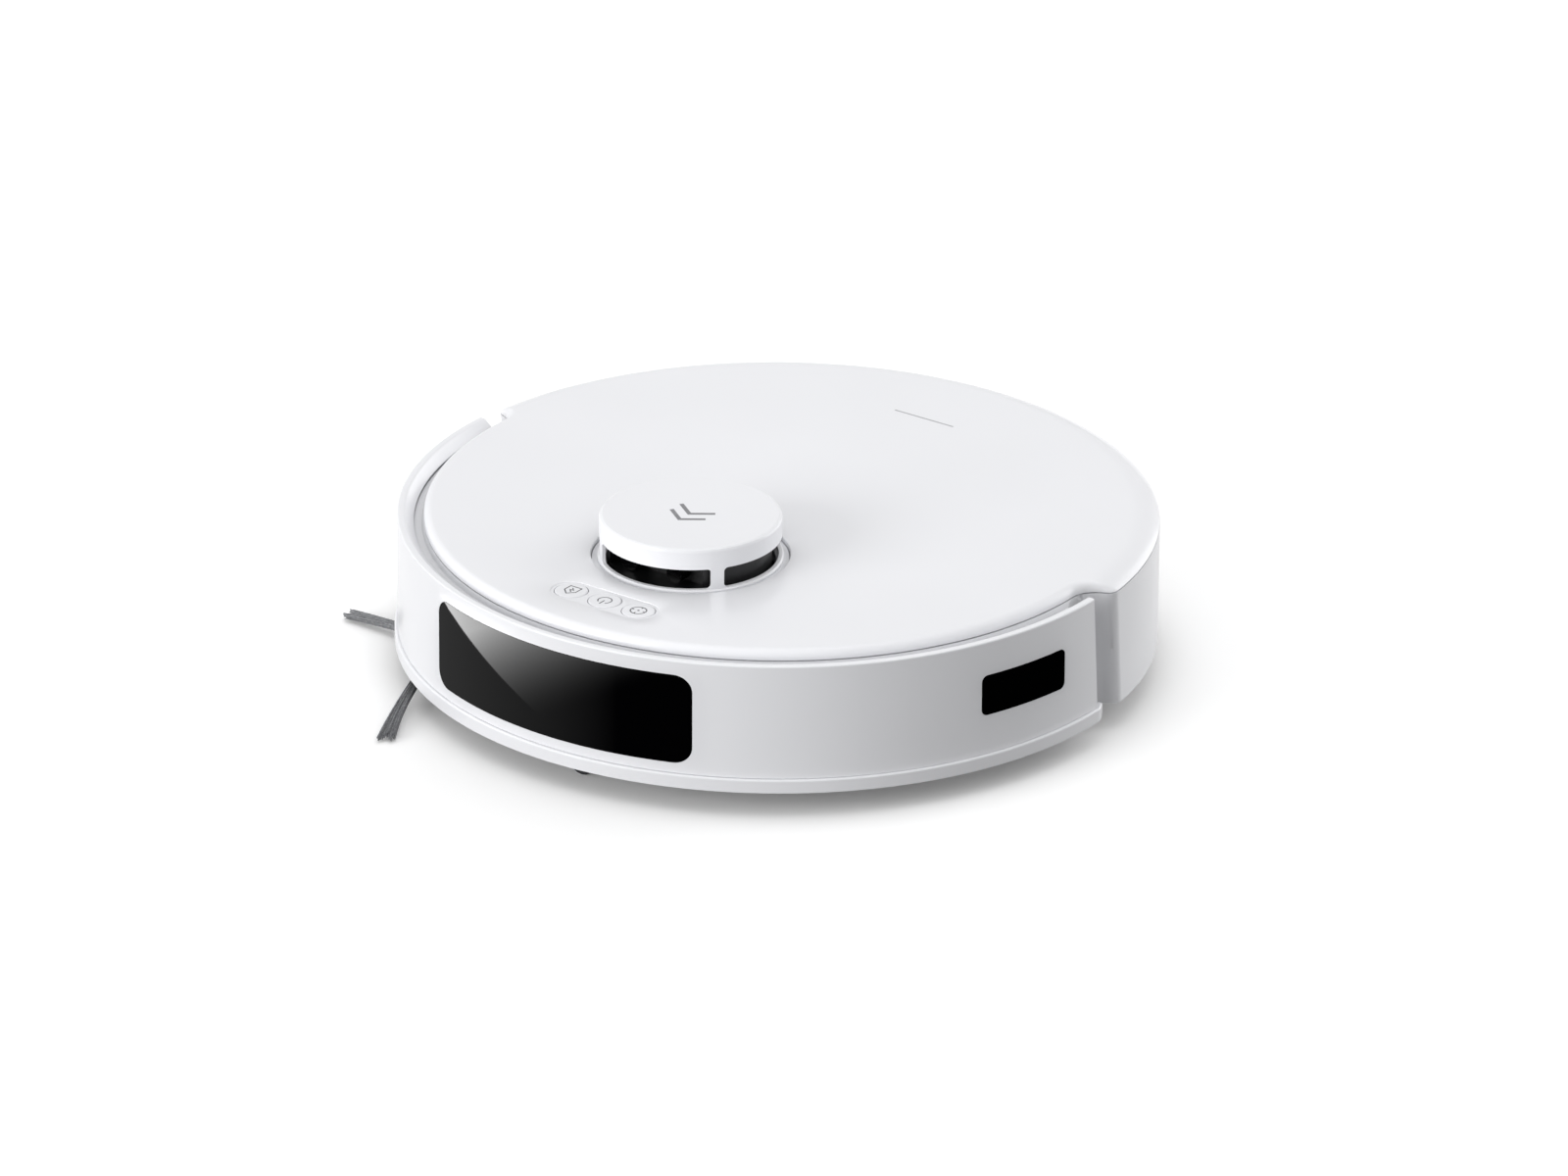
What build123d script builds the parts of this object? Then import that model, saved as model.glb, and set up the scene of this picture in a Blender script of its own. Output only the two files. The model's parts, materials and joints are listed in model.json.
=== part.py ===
"""Round robotic floor cleaner: lidar turret, sprung bumper, lift-off lid, drive wheels, brushes and mop.

Millimetres, +Z up. The origin is on the floor under the middle of the round body, and the front is -Y,
so +X is the cleaner's own left. Every sub-part is modelled where it sits when the cleaner rests.
"""

from build123d import *
import math
import os

# ---------------------------------------------------------------- driving dimensions: outline
BODY_R = 175.0            # rear wall and rear lid edge
LID_FRONT_R = 161.3       # lid edge in front of the side notches
SHOULDER_R = 165.5        # inner front wall, behind the bumper
STEP_R = 13.5             # concave quarter round of each side notch
STEP_Y = 5.0              # where that quarter round leaves the lid's front edge
NOTCH_LEAN = 5.5          # degrees by which the notches lean back towards the floor
NOTCH_ROUND = 5.0         # rounding where a notch meets the rear wall
WALL = 2.5
SPLIT_Y = 11.0            # front frame ahead of this line, rear shell behind it

# ---------------------------------------------------------------- driving dimensions: levels
PLATE_Z0, PLATE_Z1 = 12.0, 15.0
SHELL_Z0, SHELL_Z1 = 14.0, 70.4
SHOULDER_Z = 68.0
DECK_Z0, DECK_Z1 = 64.5, 67.3
LID_EDGE_Z, LID_TOP_Z = 70.9, 76.0
LID_SKIN = 2.4
DOME_R, DOME_ROUND = 161.5, 20.7   # where the lid starts to curve down to its rear edge, and how tightly
GAP = 0.3                 # clearance between separate shells

# ---------------------------------------------------------------- bumper
BUMPER_R, BUMPER_IN_R = 173.5, 170.2
RIM_IN_R, RIM_Z = 170.6, 73.6
LIP_R, LIP_Z, COLLAR_R = 165.9, 68.8, 165.9
SKIRT_R, SKIRT_Z1 = 175.0, 18.4
BUMPER_END_Y, BUMPER_LEAN = 4.4, 3.9
SKIRT_END_Y, SKIRT_TAPER = 14.0, 27.0
WINDOW_ANGLE, WINDOW_HALF_ANGLE = -91.2, 24.5
WINDOW_Z0, WINDOW_Z1, WINDOW_CORNER = 23.6, 66.5, 8.0
SIDE_ANGLE, SIDE_HALF_ANGLE, SIDE_Z0, SIDE_Z1 = -13.9, 8.15, 37.6, 57.0
TONGUE_X, TONGUE_Z = 80.0, 41.5

# ---------------------------------------------------------------- lidar turret
TURRET_Y = -66.7
CAP_R, CAP_SKIN, CAP_Z1 = 41.6, 1.6, 95.6
PORT_Z0, PORT_Z1, PORT_CORNER, PORT_POST = 76.1, 85.8, 2.0, 6.0
TURRET_FLANGE_R, TURRET_FLANGE_Z = 44.8, 74.0
TURRET_FOOT_R, TURRET_FOOT_Z = 42.3, 75.2
TURRET_HOLE_R = 45.2
DRUM_R, DRUM_Z1 = 37.0, 85.5
DRUM_PULLEY_R, MOTOR_PULLEY_R, PULLEY_GAP = 27.0, 6.0, 52.0
LIDAR_PLATE_Z0, LIDAR_PLATE_Z1 = 57.0, 59.0
LIDAR_POST_ANGLES = (-36.6, 53.4, 143.4, 228.0)

# ---------------------------------------------------------------- buttons
BUTTON_R, BUTTON_PITCH, BUTTON_Y = 7.6, 18.8, -132.0
BUTTON_SEAT_R = 9.4

# ---------------------------------------------------------------- running gear
WHEEL_R, WHEEL_X0, WHEEL_X1 = 31.0, 104.0, 122.0
HUB_R = 22.0
ARM_X0, ARM_X1 = 89.0, 101.0
PIVOT_Y, PIVOT_Z, PIN_R = 42.0, 40.0, 3.0
CASTER_Y, CASTER_TRAIL, CASTER_R, CASTER_HALF_WIDTH = -148.0, 5.5, 11.0, 7.5
CASTER_HEADING = 75.0     # how far round from straight ahead the caster rests
CASTER_CUP_R = 18.3
RUNNING = 0.05            # radial clearance of a shaft in its bore

# ---------------------------------------------------------------- brushes, fan and bin
BRUSH_Y, BRUSH_Z, BRUSH_R, BRUSH_X = -12.0, 21.0, 19.5, 78.0
SIDE_BRUSH_X, SIDE_BRUSH_Y, SIDE_BRUSH_REACH = -107.0, -104.0, 81.0
SIDE_BRUSH_ANGLES = (165.0, 285.0, 45.0)
FAN_X, FAN_Y, FAN_R = 100.0, 92.0, 29.0
BIN_X, BIN_Y0, BIN_Y1, BIN_Z0, BIN_Z1 = 58.0, 22.0, 118.0, 15.3, 62.0
MOP_R, MOP_Y0 = 158.0, 58.0
MOP_CLOTH_Z, MOP_TOP_Z = 3.2, 11.6
RAIL_X, RAIL_Y0, RAIL_Y1 = 70.0, 62.0, 135.0
CLIFF_R = 154.0
CLIFF_ANGLES = (-112, -68, -148, -32, 175, 5)
BOARD_X0, BOARD_X1, BOARD_Y0, BOARD_Y1, BOARD_Z = -80.0, 36.0, -112.0, -42.0, 45.0
POSTS = [(sx * x, y) for x, y in ((45, -128), (132, -52), (150, 30), (62, 136)) for sx in (-1, 1)]


# ================================================================ shared shapes
def disc(r, z0, z1, x=0.0, y=0.0):
    """Upright cylinder from z0 to z1."""
    return Pos(x, y, z0) * extrude(Circle(r), z1 - z0)


def ring(r_out, r_in, z0, z1, x=0.0, y=0.0):
    """Upright tube from z0 to z1."""
    return Pos(x, y, z0) * extrude(Circle(r_out) - Circle(r_in), z1 - z0)


def block(x0, x1, y0, y1, z0, z1):
    """Box between two corners."""
    return Pos((x0 + x1) / 2, (y0 + y1) / 2, (z0 + z1) / 2) * Box(x1 - x0, y1 - y0, z1 - z0)


def x_rod(r, x0, x1, y, z):
    """Cylinder along X."""
    return Pos(x0, y, z) * Rot(0, 90, 0) * extrude(Circle(r), x1 - x0)


def x_hull(circles, x0, x1):
    """Plate across X whose outline wraps round circles given as (y, z, r)."""
    outline = Sketch() + [Pos(-z, y) * Circle(r) for y, z, r in circles]
    return Pos(x0, 0, 0) * Rot(0, 90, 0) * extrude(make_hull(outline.edges()), x1 - x0)


def polar(radius, angle):
    """Point on a circle about the body's axis."""
    return (radius * math.cos(math.radians(angle)), radius * math.sin(math.radians(angle)))


def ahead_of(y, solid):
    """The part of a solid in front of a line across the body."""
    return solid & block(-300, 300, -300, y, -10, 200)


def behind(y, solid):
    """The part of a solid at the back of a line across the body."""
    return solid & block(-300, 300, y, 300, -10, 200)


def body_outline(front_r, rear_r, step_grow=0.0):
    """Plan of the body: a smaller front arc, two concave notches and the full rear arc."""
    centre_r = LID_FRONT_R + STEP_R
    centre_angle = math.degrees(math.asin(STEP_Y / centre_r))
    notch_r = STEP_R + step_grow

    def crossing(radius):
        cosine = (radius**2 + centre_r**2 - notch_r**2) / (2 * radius * centre_r)
        return centre_angle + math.degrees(math.acos(min(1.0, cosine)))

    start, end = polar(front_r, crossing(front_r)), polar(rear_r, crossing(rear_r))
    centre = Vector(*polar(centre_r, centre_angle))
    chord_middle = (Vector(*start) + Vector(*end)) / 2
    middle = centre + (chord_middle - centre).normalized() * notch_r

    def mirrored(point):
        return (-point[0], point[1])

    edges = [
        ThreePointArc(mirrored(start), (0, -front_r), start),
        ThreePointArc(start, (middle.X, middle.Y), end),
        ThreePointArc(end, (0, rear_r), mirrored(end)),
        ThreePointArc(mirrored(end), (-middle.X, middle.Y), mirrored(start)),
    ]
    return make_face(edges)


def prism(face, z0, z1):
    """Upright extrusion of a plan face."""
    return Pos(0, 0, z0) * extrude(face, z1 - z0)


def notch_cutters(grow=0.0):
    """Leaning cylinders that cut the two side notches into the body."""
    centre_r = LID_FRONT_R + STEP_R
    x = math.sqrt(centre_r**2 - STEP_Y**2)
    return [Pos(side * x, STEP_Y, LID_EDGE_Z) * Rot(NOTCH_LEAN, 0, 0) * Cylinder(STEP_R + grow, 200)
            for side in (-1, 1)]


def body_solid(front_r, rear_r, grow, z0, z1):
    """Body between two levels: a smaller circle in front, the full circle behind, and leaning notches."""
    return disc(front_r, z0, z1) + behind(STEP_Y, disc(rear_r, z0, z1)) - notch_cutters(grow)


def revolved(*points):
    """Solid of revolution about the body's axis from a closed outline of (radius, z) corners."""
    outline = make_face(Plane.XZ * Polyline(*points, close=True))
    return revolve(outline, Axis.Z)


def wall_cutter(angle, half_width, z0, z1, corner, r0, r1):
    """Rounded rectangle carried outwards through a curved wall."""
    plane = Plane(origin=(*polar(r0, angle), (z0 + z1) / 2),
                  x_dir=(-math.sin(math.radians(angle)), math.cos(math.radians(angle)), 0),
                  z_dir=(math.cos(math.radians(angle)), math.sin(math.radians(angle)), 0))
    return extrude(plane * RectangleRounded(2 * half_width, z1 - z0, corner), r1 - r0)


def front_window_cutter(clearance=0.0):
    half = BUMPER_R * math.sin(math.radians(WINDOW_HALF_ANGLE)) + clearance
    return wall_cutter(WINDOW_ANGLE, half, WINDOW_Z0 - clearance, WINDOW_Z1 + clearance,
                       WINDOW_CORNER + clearance, 140, 180)


def side_window_cutter(clearance=0.0):
    half = BUMPER_R * math.sin(math.radians(SIDE_HALF_ANGLE)) + clearance
    return wall_cutter(SIDE_ANGLE, half, SIDE_Z0 - clearance, SIDE_Z1 + clearance, 3 + clearance, 160, 180)


# ================================================================ fixed frame
def base_plate():
    plate = body_solid(SHOULDER_R - 0.2, BODY_R - WALL - GAP, WALL + GAP, PLATE_Z0 + 1.4, PLATE_Z1)
    plate += body_solid(SHOULDER_R - 1.6, BODY_R - WALL - 2, WALL + 2, PLATE_Z0, PLATE_Z0 + 1.5)
    plate -= behind(SPLIT_Y, shell_ring(SHELL_Z0 - 0.1, SHELL_Z1))
    cuts = [block(-81, 81, BRUSH_Y - 22, BRUSH_Y + 22, 0, 20),
            disc(CASTER_CUP_R + 1, 0, 20, 0, CASTER_Y), disc(8, 0, 20, SIDE_BRUSH_X, SIDE_BRUSH_Y)]
    for side in (-1, 1):
        near, far = sorted((side * 102.5, side * 124.0))
        cuts.append(block(near, far, -34, 40, 0, 20))
        near, far = sorted((side * 87.5, side * 102.6))
        cuts.append(block(near, far, -17, 32, 0, 20))
    for x, y in POSTS:
        cuts += [disc(1.7, 0, 20, x, y), disc(3.5, 0, PLATE_Z0 + 2, x, y)]
    for angle in CLIFF_ANGLES:
        cuts.append(cliff_pocket(angle, 7.3, 4.3))
    plate -= cuts
    for side in (-1, 1):
        for x0, x1 in ((84.6, 88.2), (102.2, 103.8)):
            x0, x1 = sorted((side * x0, side * x1))
            ear = x_hull([(PIVOT_Y, PIVOT_Z, 6.5), (43, 15.5, 3), (47, 15.5, 3)], x0, x1)
            ear &= block(-200, 200, 0, 100, PLATE_Z1 - 0.5, 60)
            plate += ear - x_rod(PIN_R, x0 - 1, x1 + 1, PIVOT_Y, PIVOT_Z)
        plate += mop_rail(side * RAIL_X)
    plate += [disc(2.5, PLATE_Z1 - 1, BOARD_Z, x, y) for x in (BOARD_X0 + 4, BOARD_X1 - 4)
              for y in (BOARD_Y0 + 4, BOARD_Y1 - 4)]
    return plate


def mop_rail(x, clearance=0.0, y0=RAIL_Y0, y1=RAIL_Y1):
    """T-shaped rail that carries the mop plate; with a clearance, the slot for it."""
    neck = block(x - 3 - clearance, x + 3 + clearance, y0, y1, 9.4, PLATE_Z0 + 0.2)
    return neck + block(x - 5 - clearance, x + 5 + clearance, y0, y1, 7.8 - clearance, 9.4 + clearance)


def cliff_pocket(angle, half_length, half_width):
    """Slot through the plate's edge for a downward looking sensor."""
    x, y = polar(CLIFF_R, angle)
    slot = SlotCenterToCenter(2 * (half_length - half_width), 2 * half_width)
    return Pos(x, y, 0) * Rot(0, 0, angle + 90) * extrude(slot, 20)


def cliff_sensors():
    lens = [cliff_pocket(angle, 7, 4) & block(-200, 200, -200, 200, PLATE_Z0 + 0.4, PLATE_Z1)
            for angle in CLIFF_ANGLES]
    return Part() + lens


def shell_ring(z0, z1):
    outer = body_solid(SHOULDER_R, BODY_R, 0, z0, z1)
    return outer - body_solid(SHOULDER_R - WALL, BODY_R - WALL, WALL, z0 - 1, z1 + 1)


def exhaust_slots():
    return [wall_cutter(angle, 1.2, 30, 52, 1.1, 165, 180) for angle in range(48, 76, 2)]


def contact_pads(clearance=0.0):
    return [wall_cutter(90 + side * 11, 9 + clearance, 20 - clearance, 30 + clearance, 2, 165, 180)
            for side in (-1, 1)]


def dock_window(clearance=0.0):
    return wall_cutter(90, 13 + clearance, 38 - clearance, 50 + clearance, 4, 165, 180)


def rear_shell():
    shell = behind(SPLIT_Y, shell_ring(SHELL_Z0, SHELL_Z1))
    corners = [edge for edge in shell.edges() if edge.length > 50 and edge.center().Y < 30
               and math.hypot(edge.center().X, edge.center().Y) > BODY_R - 0.6]
    shell = fillet(corners, NOTCH_ROUND)
    shell -= [*exhaust_slots(), *contact_pads(0.1), dock_window(0.1)]
    return shell


def front_frame():
    wall = ahead_of(SPLIT_Y - 0.1, shell_ring(PLATE_Z1 + 0.1, SHOULDER_Z))
    ledge = revolved((158, DECK_Z1 + 0.2), (SHOULDER_R - 1, DECK_Z1 + 0.2), (SHOULDER_R - 1, SHOULDER_Z),
                     (SHOULDER_R - 3.3, SHOULDER_Z), (LID_FRONT_R, SHELL_Z1), (158, SHELL_Z1))
    collar = ring(COLLAR_R, SHOULDER_R - 1, SHOULDER_Z - 1.2, SHOULDER_Z)
    frame = wall + ahead_of(SPLIT_Y - 0.1, ledge + collar - notch_cutters())
    for side in (-1, 1):
        x = side * TONGUE_X
        frame -= block(x - 9, x + 9, -160, -130, TONGUE_Z - 3, TONGUE_Z + 3)
    return frame - [block(-33, 33, -170, -150, 30, 60), disc(CASTER_CUP_R + 0.3, PLATE_Z1, 27.5, 0, CASTER_Y)]


def charge_contacts():
    skin = ring(BODY_R, BODY_R - 1.6, 0, 90)
    return Part() + [pad & skin for pad in contact_pads()]


def dock_sensor_window():
    return dock_window() & ring(BODY_R, BODY_R - 2, 0, 90)


def top_deck():
    """Flat tray under the lid: the front circle all round, and a tab that reaches the rear wall."""
    plan = Circle(SHOULDER_R - WALL - GAP) + (Circle(BODY_R - WALL - GAP) & Pos(0, 190) * Rectangle(400, 260))
    deck = prism(plan, DECK_Z0, DECK_Z1) - disc(39, 60, 70, 0, TURRET_Y) - notch_cutters(WALL + GAP)
    return deck - block(-BIN_X - 2, BIN_X + 2, BIN_Y0 - 2, BIN_Y1 + 2, 60, 70)


def deck_posts():
    """Eight spacers between the base plate and the deck, each bored for its screw."""
    return Part() + [ring(4.5, 1.4, PLATE_Z1, DECK_Z0, x, y) for x, y in POSTS]


def frame_screws():
    screws = []
    for x, y in POSTS:
        head = disc(3.1, PLATE_Z0 + 0.4, PLATE_Z0 + 2, x, y)
        head -= Pos(x, y, PLATE_Z0 + 0.4) * extrude(RegularPolygon(1.3, 6), 0.9)
        screws.append(head + disc(1.3, PLATE_Z0 + 2, PLATE_Z0 + 12, x, y))
    return Part() + screws


def main_board():
    top = BOARD_Z + 1.6
    board = block(BOARD_X0, BOARD_X1, BOARD_Y0, BOARD_Y1, BOARD_Z, top)
    for x, y, length, width, height in ((-60, -95, 16, 16, 2), (-30, -100, 10, 12, 3), (-58, -60, 22, 14, 5),
                                        (-20, -60, 12, 12, 2), (12, -98, 18, 8, 6), (15, -60, 9, 20, 4)):
        board += block(x - length / 2, x + length / 2, y - width / 2, y + width / 2, top, top + height)
    return board


def battery_pack():
    pack = block(-60, 60, -104, -50, PLATE_Z1, 40)
    return fillet(pack.edges().filter_by(Axis.X), 5)


def bumper_switches():
    switches = []
    for side in (-1, 1):
        x = side * TONGUE_X
        switch = block(x - 7, x + 7, -130, -122, TONGUE_Z - 4, TONGUE_Z + 4)
        switch += block(x - 1.5, x + 1.5, -131.4, -130, TONGUE_Z - 1, TONGUE_Z + 1)
        bracket = block(x - 7, x + 7, -150, -122, TONGUE_Z + 4, TONGUE_Z + 6)
        switches.append(switch + (bracket & disc(SHOULDER_R - WALL, 0, 90)))
    return Part() + switches


def obstacle_sensor():
    body = block(-31, 31, -158, -150, 32, 58)
    body += block(-40, 40, -162, -157, 34, 56) & disc(SHOULDER_R - WALL, 0, 90)
    for x, r in ((-20, 6), (0, 4), (20, 6)):
        body += Pos(x, -158, 45) * Rot(90, 0, 0) * extrude(Circle(r), 5.5)
    return body


# ================================================================ lid and buttons
def button_places():
    return [(-BUTTON_PITCH, BUTTON_Y), (0.0, BUTTON_Y), (BUTTON_PITCH, BUTTON_Y)]


def lid_dome(top):
    """Space under the lid's top surface: flat in the middle, curving down towards the rear edge."""
    def level(radius):
        return top - DOME_ROUND + math.sqrt(DOME_ROUND**2 - (radius - DOME_R) ** 2)

    with BuildSketch(Plane.XZ) as profile:
        with BuildLine():
            end = BODY_R + 0.4
            Polyline((end, level(end)), (end, 40), (0, 40), (0, top), (DOME_R, top))
            ThreePointArc((DOME_R, top), (169, level(169)), (end, level(end)))
        make_face()
    return revolve(profile.sketch, Axis.Z)


def lid():
    pocket = body_outline(LID_FRONT_R - 3, BODY_R - 3, 3)
    plan = body_outline(LID_FRONT_R, BODY_R)
    plan = fillet(plan.vertices().filter_by(lambda corner: corner.Y > STEP_Y), NOTCH_ROUND)
    cover = prism(plan, LID_EDGE_Z, LID_TOP_Z)
    cover = fillet(cover.edges().group_by(Axis.Z)[-1], 3) & lid_dome(LID_TOP_Z)
    cover -= prism(pocket, LID_EDGE_Z - 2, LID_TOP_Z - LID_SKIN) & lid_dome(LID_TOP_Z - LID_SKIN)
    cover -= disc(TURRET_HOLE_R, 60, 90, 0, TURRET_Y)
    cover += ring(TURRET_HOLE_R + 2, TURRET_HOLE_R, LID_EDGE_Z, LID_TOP_Z - 1, 0, TURRET_Y)
    seat = SlotCenterToCenter(2 * BUTTON_PITCH, 2 * BUTTON_SEAT_R)
    cover -= Pos(0, BUTTON_Y, LID_TOP_Z - 0.3) * extrude(seat, 5)
    return cover - [disc(BUTTON_R + GAP, 60, 90, x, y) for x, y in button_places()]


def lid_magnets():
    top = LID_TOP_Z - LID_SKIN
    return Part() + [disc(5, top - 1.8, top, x, y) for x, y in ((-120, 75), (120, 75), (-90, -90), (90, -90))]


def button_switches():
    """Small board on the deck with one dome switch under each button."""
    board = block(-28, 28, BUTTON_Y - 8, BUTTON_Y + 8, DECK_Z1, DECK_Z1 + 1.6)
    return board + [disc(3, DECK_Z1 + 1.6, 71.5, x, y) for x, y in button_places()]


def button(x, y):
    """Cap with a retaining flange under the lid."""
    top, flange = LID_TOP_Z - 0.1, LID_TOP_Z - LID_SKIN - GAP
    cap = disc(BUTTON_R, flange - 0.8, top, x, y)
    cap = fillet(cap.edges().group_by(Axis.Z)[-1], 0.5)
    return cap + disc(BUTTON_R + 1.2, flange - 0.8, flange, x, y)


# ================================================================ bumper
def ahead_of_bumper_end(solid):
    """The part of a solid in front of the leaning plane where both ends of the bumper stop."""
    room = Pos(0, BUMPER_END_Y, RIM_Z) * Rot(BUMPER_LEAN, 0, 0) * block(-300, 300, -400, 0, -200, 200)
    return solid & room


def bumper_shell():
    """Wall with a rounded rim, whose inner face slopes down into the gutter round the lid."""
    with BuildSketch(Plane.XZ) as profile:
        with BuildLine():
            Polyline((BUMPER_R, RIM_Z - 0.9), (BUMPER_R, SKIRT_Z1 + 0.2), (BUMPER_IN_R, SKIRT_Z1 + 0.2),
                     (BUMPER_IN_R, LIP_Z), (LIP_R, LIP_Z), (LIP_R, LIP_Z + 0.7),
                     (RIM_IN_R - 0.8, RIM_Z - 0.4), (RIM_IN_R, RIM_Z), (BUMPER_R - 0.9, RIM_Z))
            ThreePointArc((BUMPER_R - 0.9, RIM_Z), (BUMPER_R - 0.26, RIM_Z - 0.26), (BUMPER_R, RIM_Z - 0.9))
        make_face()
    shell = ahead_of_bumper_end(revolve(profile.sketch, Axis.Z))
    shell -= [front_window_cutter(0.15), side_window_cutter(0.15)]
    for side in (-1, 1):
        x = side * TONGUE_X
        tongue = block(x - 7, x + 7, -153, -136, TONGUE_Z - 1.5, TONGUE_Z + 1.5)
        shell += tongue & disc(BUMPER_IN_R + 1, 0, 90)
    return shell


def bumper_skirt():
    """Bottom rail of the bumper, with tapered ends and a rounded top edge."""
    skirt = ahead_of(SKIRT_END_Y, ring(SKIRT_R, BUMPER_IN_R, PLATE_Z0, SKIRT_Z1))
    reach = SKIRT_R * math.cos(math.radians(SKIRT_TAPER - 2.8))
    skirt -= Rot(0, 0, SKIRT_TAPER) * block(reach, 200, -200, 200, 0, 40)
    skirt -= Rot(0, 0, -SKIRT_TAPER) * block(-200, -reach, -200, 200, 0, 40)
    bends = [edge for edge in skirt.edges().filter_by(Axis.Z) if edge.center().Y < SKIRT_END_Y - 1]
    skirt = fillet(bends, 6)
    return fillet(skirt.edges().group_by(Axis.Z)[-1], 0.9)


def front_window():
    return front_window_cutter() & ring(BUMPER_R + 0.05, BUMPER_R - 2.2, 0, 90)


def side_window():
    return side_window_cutter() & ring(BUMPER_R + 0.05, BUMPER_R - 2.2, 0, 90)


# ================================================================ lidar turret
def lidar_base():
    plan = make_hull((Circle(40) + Pos(PULLEY_GAP, 0) * Circle(14)).edges())
    base = Pos(0, TURRET_Y, LIDAR_PLATE_Z0) * extrude(plan, LIDAR_PLATE_Z1 - LIDAR_PLATE_Z0)
    base += disc(8, LIDAR_PLATE_Z1, 66, 0, TURRET_Y)
    for angle in (100, 180, 260):
        x, y = polar(35, angle)
        base += disc(3, LIDAR_PLATE_Z1 - 0.5, DECK_Z0, x, TURRET_Y + y)
    return base - disc(2.6, 50, 62, PULLEY_GAP, TURRET_Y)


def lidar_ports():
    """The four round-cornered openings of the turret's wall, between its posts."""
    ports = ring(CAP_R + 2, CAP_R - CAP_SKIN - 2, PORT_Z0, PORT_Z1)
    ports -= [Rot(0, 0, angle) * block(30, 60, -PORT_POST / 2, PORT_POST / 2, 60, 100)
              for angle in LIDAR_POST_ANGLES]
    corners = [edge for edge in ports.edges().filter_by(GeomType.LINE) if abs((edge % 0.5).Z) < 0.1]
    return fillet(corners, PORT_CORNER)


def lidar_cover():
    """One moulding: flange, foot, thin wall with four openings, and the bevelled cap."""
    inner, foot = CAP_R - CAP_SKIN, DRUM_R + 1.8
    bevel = 1.5
    with BuildSketch(Plane.XZ) as profile:
        with BuildLine():
            Polyline((foot, TURRET_FLANGE_Z - 1), (foot, DECK_Z1), (TURRET_FLANGE_R, DECK_Z1),
                     (TURRET_FLANGE_R, TURRET_FLANGE_Z), (TURRET_FOOT_R, TURRET_FLANGE_Z),
                     (TURRET_FOOT_R, TURRET_FOOT_Z), (CAP_R, TURRET_FOOT_Z + 0.5), (CAP_R, CAP_Z1 - bevel),
                     (CAP_R - 0.4, CAP_Z1 - 0.5), (CAP_R - bevel, CAP_Z1), (0, CAP_Z1), (0, CAP_Z1 - CAP_SKIN),
                     (inner, CAP_Z1 - CAP_SKIN), (inner, TURRET_FLANGE_Z), (foot, TURRET_FLANGE_Z - 1))
        make_face()
    cover = revolve(profile.sketch, Axis.Z)
    return Pos(0, TURRET_Y, 0) * (cover - lidar_ports())


def lidar_drum():
    foot = ring(DRUM_PULLEY_R + 1.5, 8 + RUNNING, 59.4, 60.2) + ring(DRUM_PULLEY_R, 8 + RUNNING, 60, 63.2)
    drum = foot + ring(DRUM_PULLEY_R + 1.5, 8 + RUNNING, 63, 68.1) + disc(DRUM_R, 68, DRUM_Z1)
    drum -= disc(8 + RUNNING, 59, 66.4)
    drum -= block(-26, 26, -40, -22, 74, 84.2)
    return Pos(0, TURRET_Y, 0) * drum


def lidar_lenses():
    lens = [Pos(x, -22, 79) * Rot(90, 0, 0) * extrude(Circle(r), 7) for x, r in ((-13, 4.6), (12, 4.2))]
    return Pos(0, TURRET_Y, 0) * (Part() + lens)


def lidar_motor():
    return disc(11, 41, LIDAR_PLATE_Z0, PULLEY_GAP, TURRET_Y)


def lidar_motor_pulley():
    pulley = disc(MOTOR_PULLEY_R, 59.6, 63.6) + disc(MOTOR_PULLEY_R + 1.5, 59.6, 60.2)
    pulley += disc(2, LIDAR_PLATE_Z0 + 0.3, 60)
    return Pos(PULLEY_GAP, TURRET_Y, 0) * pulley


def lidar_belt():
    def loop(grow):
        circles = Circle(DRUM_PULLEY_R + grow) + Pos(PULLEY_GAP, 0) * Circle(MOTOR_PULLEY_R + grow)
        return make_hull(circles.edges())
    return Pos(0, TURRET_Y, 60.6) * extrude(loop(1.2) - loop(0.3), 2)


# ================================================================ drive wheels and caster
def wheel_arm(side):
    x0, x1 = sorted((side * ARM_X0, side * ARM_X1))
    arm = x_hull([(0, WHEEL_R, 14), (PIVOT_Y, PIVOT_Z, 14)], x0, x1)
    arm -= x_rod(PIN_R + RUNNING, x0 - 1, x1 + 1, PIVOT_Y, PIVOT_Z)
    bore0, bore1 = sorted((side * (ARM_X0 + 1.5), side * (ARM_X1 + 1)))
    arm -= x_rod(4 + RUNNING, bore0, bore1, 0, WHEEL_R)
    pocket0, pocket1 = sorted((side * 93.5, side * (ARM_X1 + 1)))
    arm -= (x_rod(10.5, pocket0, pocket1, PIVOT_Y, PIVOT_Z)
            - x_rod(PIN_R + 2, pocket0 - 1, pocket1 + 1, PIVOT_Y, PIVOT_Z))
    motor0, motor1 = sorted((side * 62.0, side * (ARM_X0 + 0.5)))
    return arm + x_rod(11, motor0, motor1, 22, 38)


def wheel_spring(side):
    """Torsion spring in the arm's pocket, round the pivot."""
    coil = Helix(pitch=2.1, height=5.2, radius=7.8)
    wire = Plane(origin=coil @ 0, z_dir=coil % 0) * Circle(0.8)
    spring = sweep(wire, path=coil)
    start = 94.8 if side > 0 else -94.8 - 5.2
    return Pos(start, PIVOT_Y, PIVOT_Z) * Rot(0, 90, 0) * spring


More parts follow.
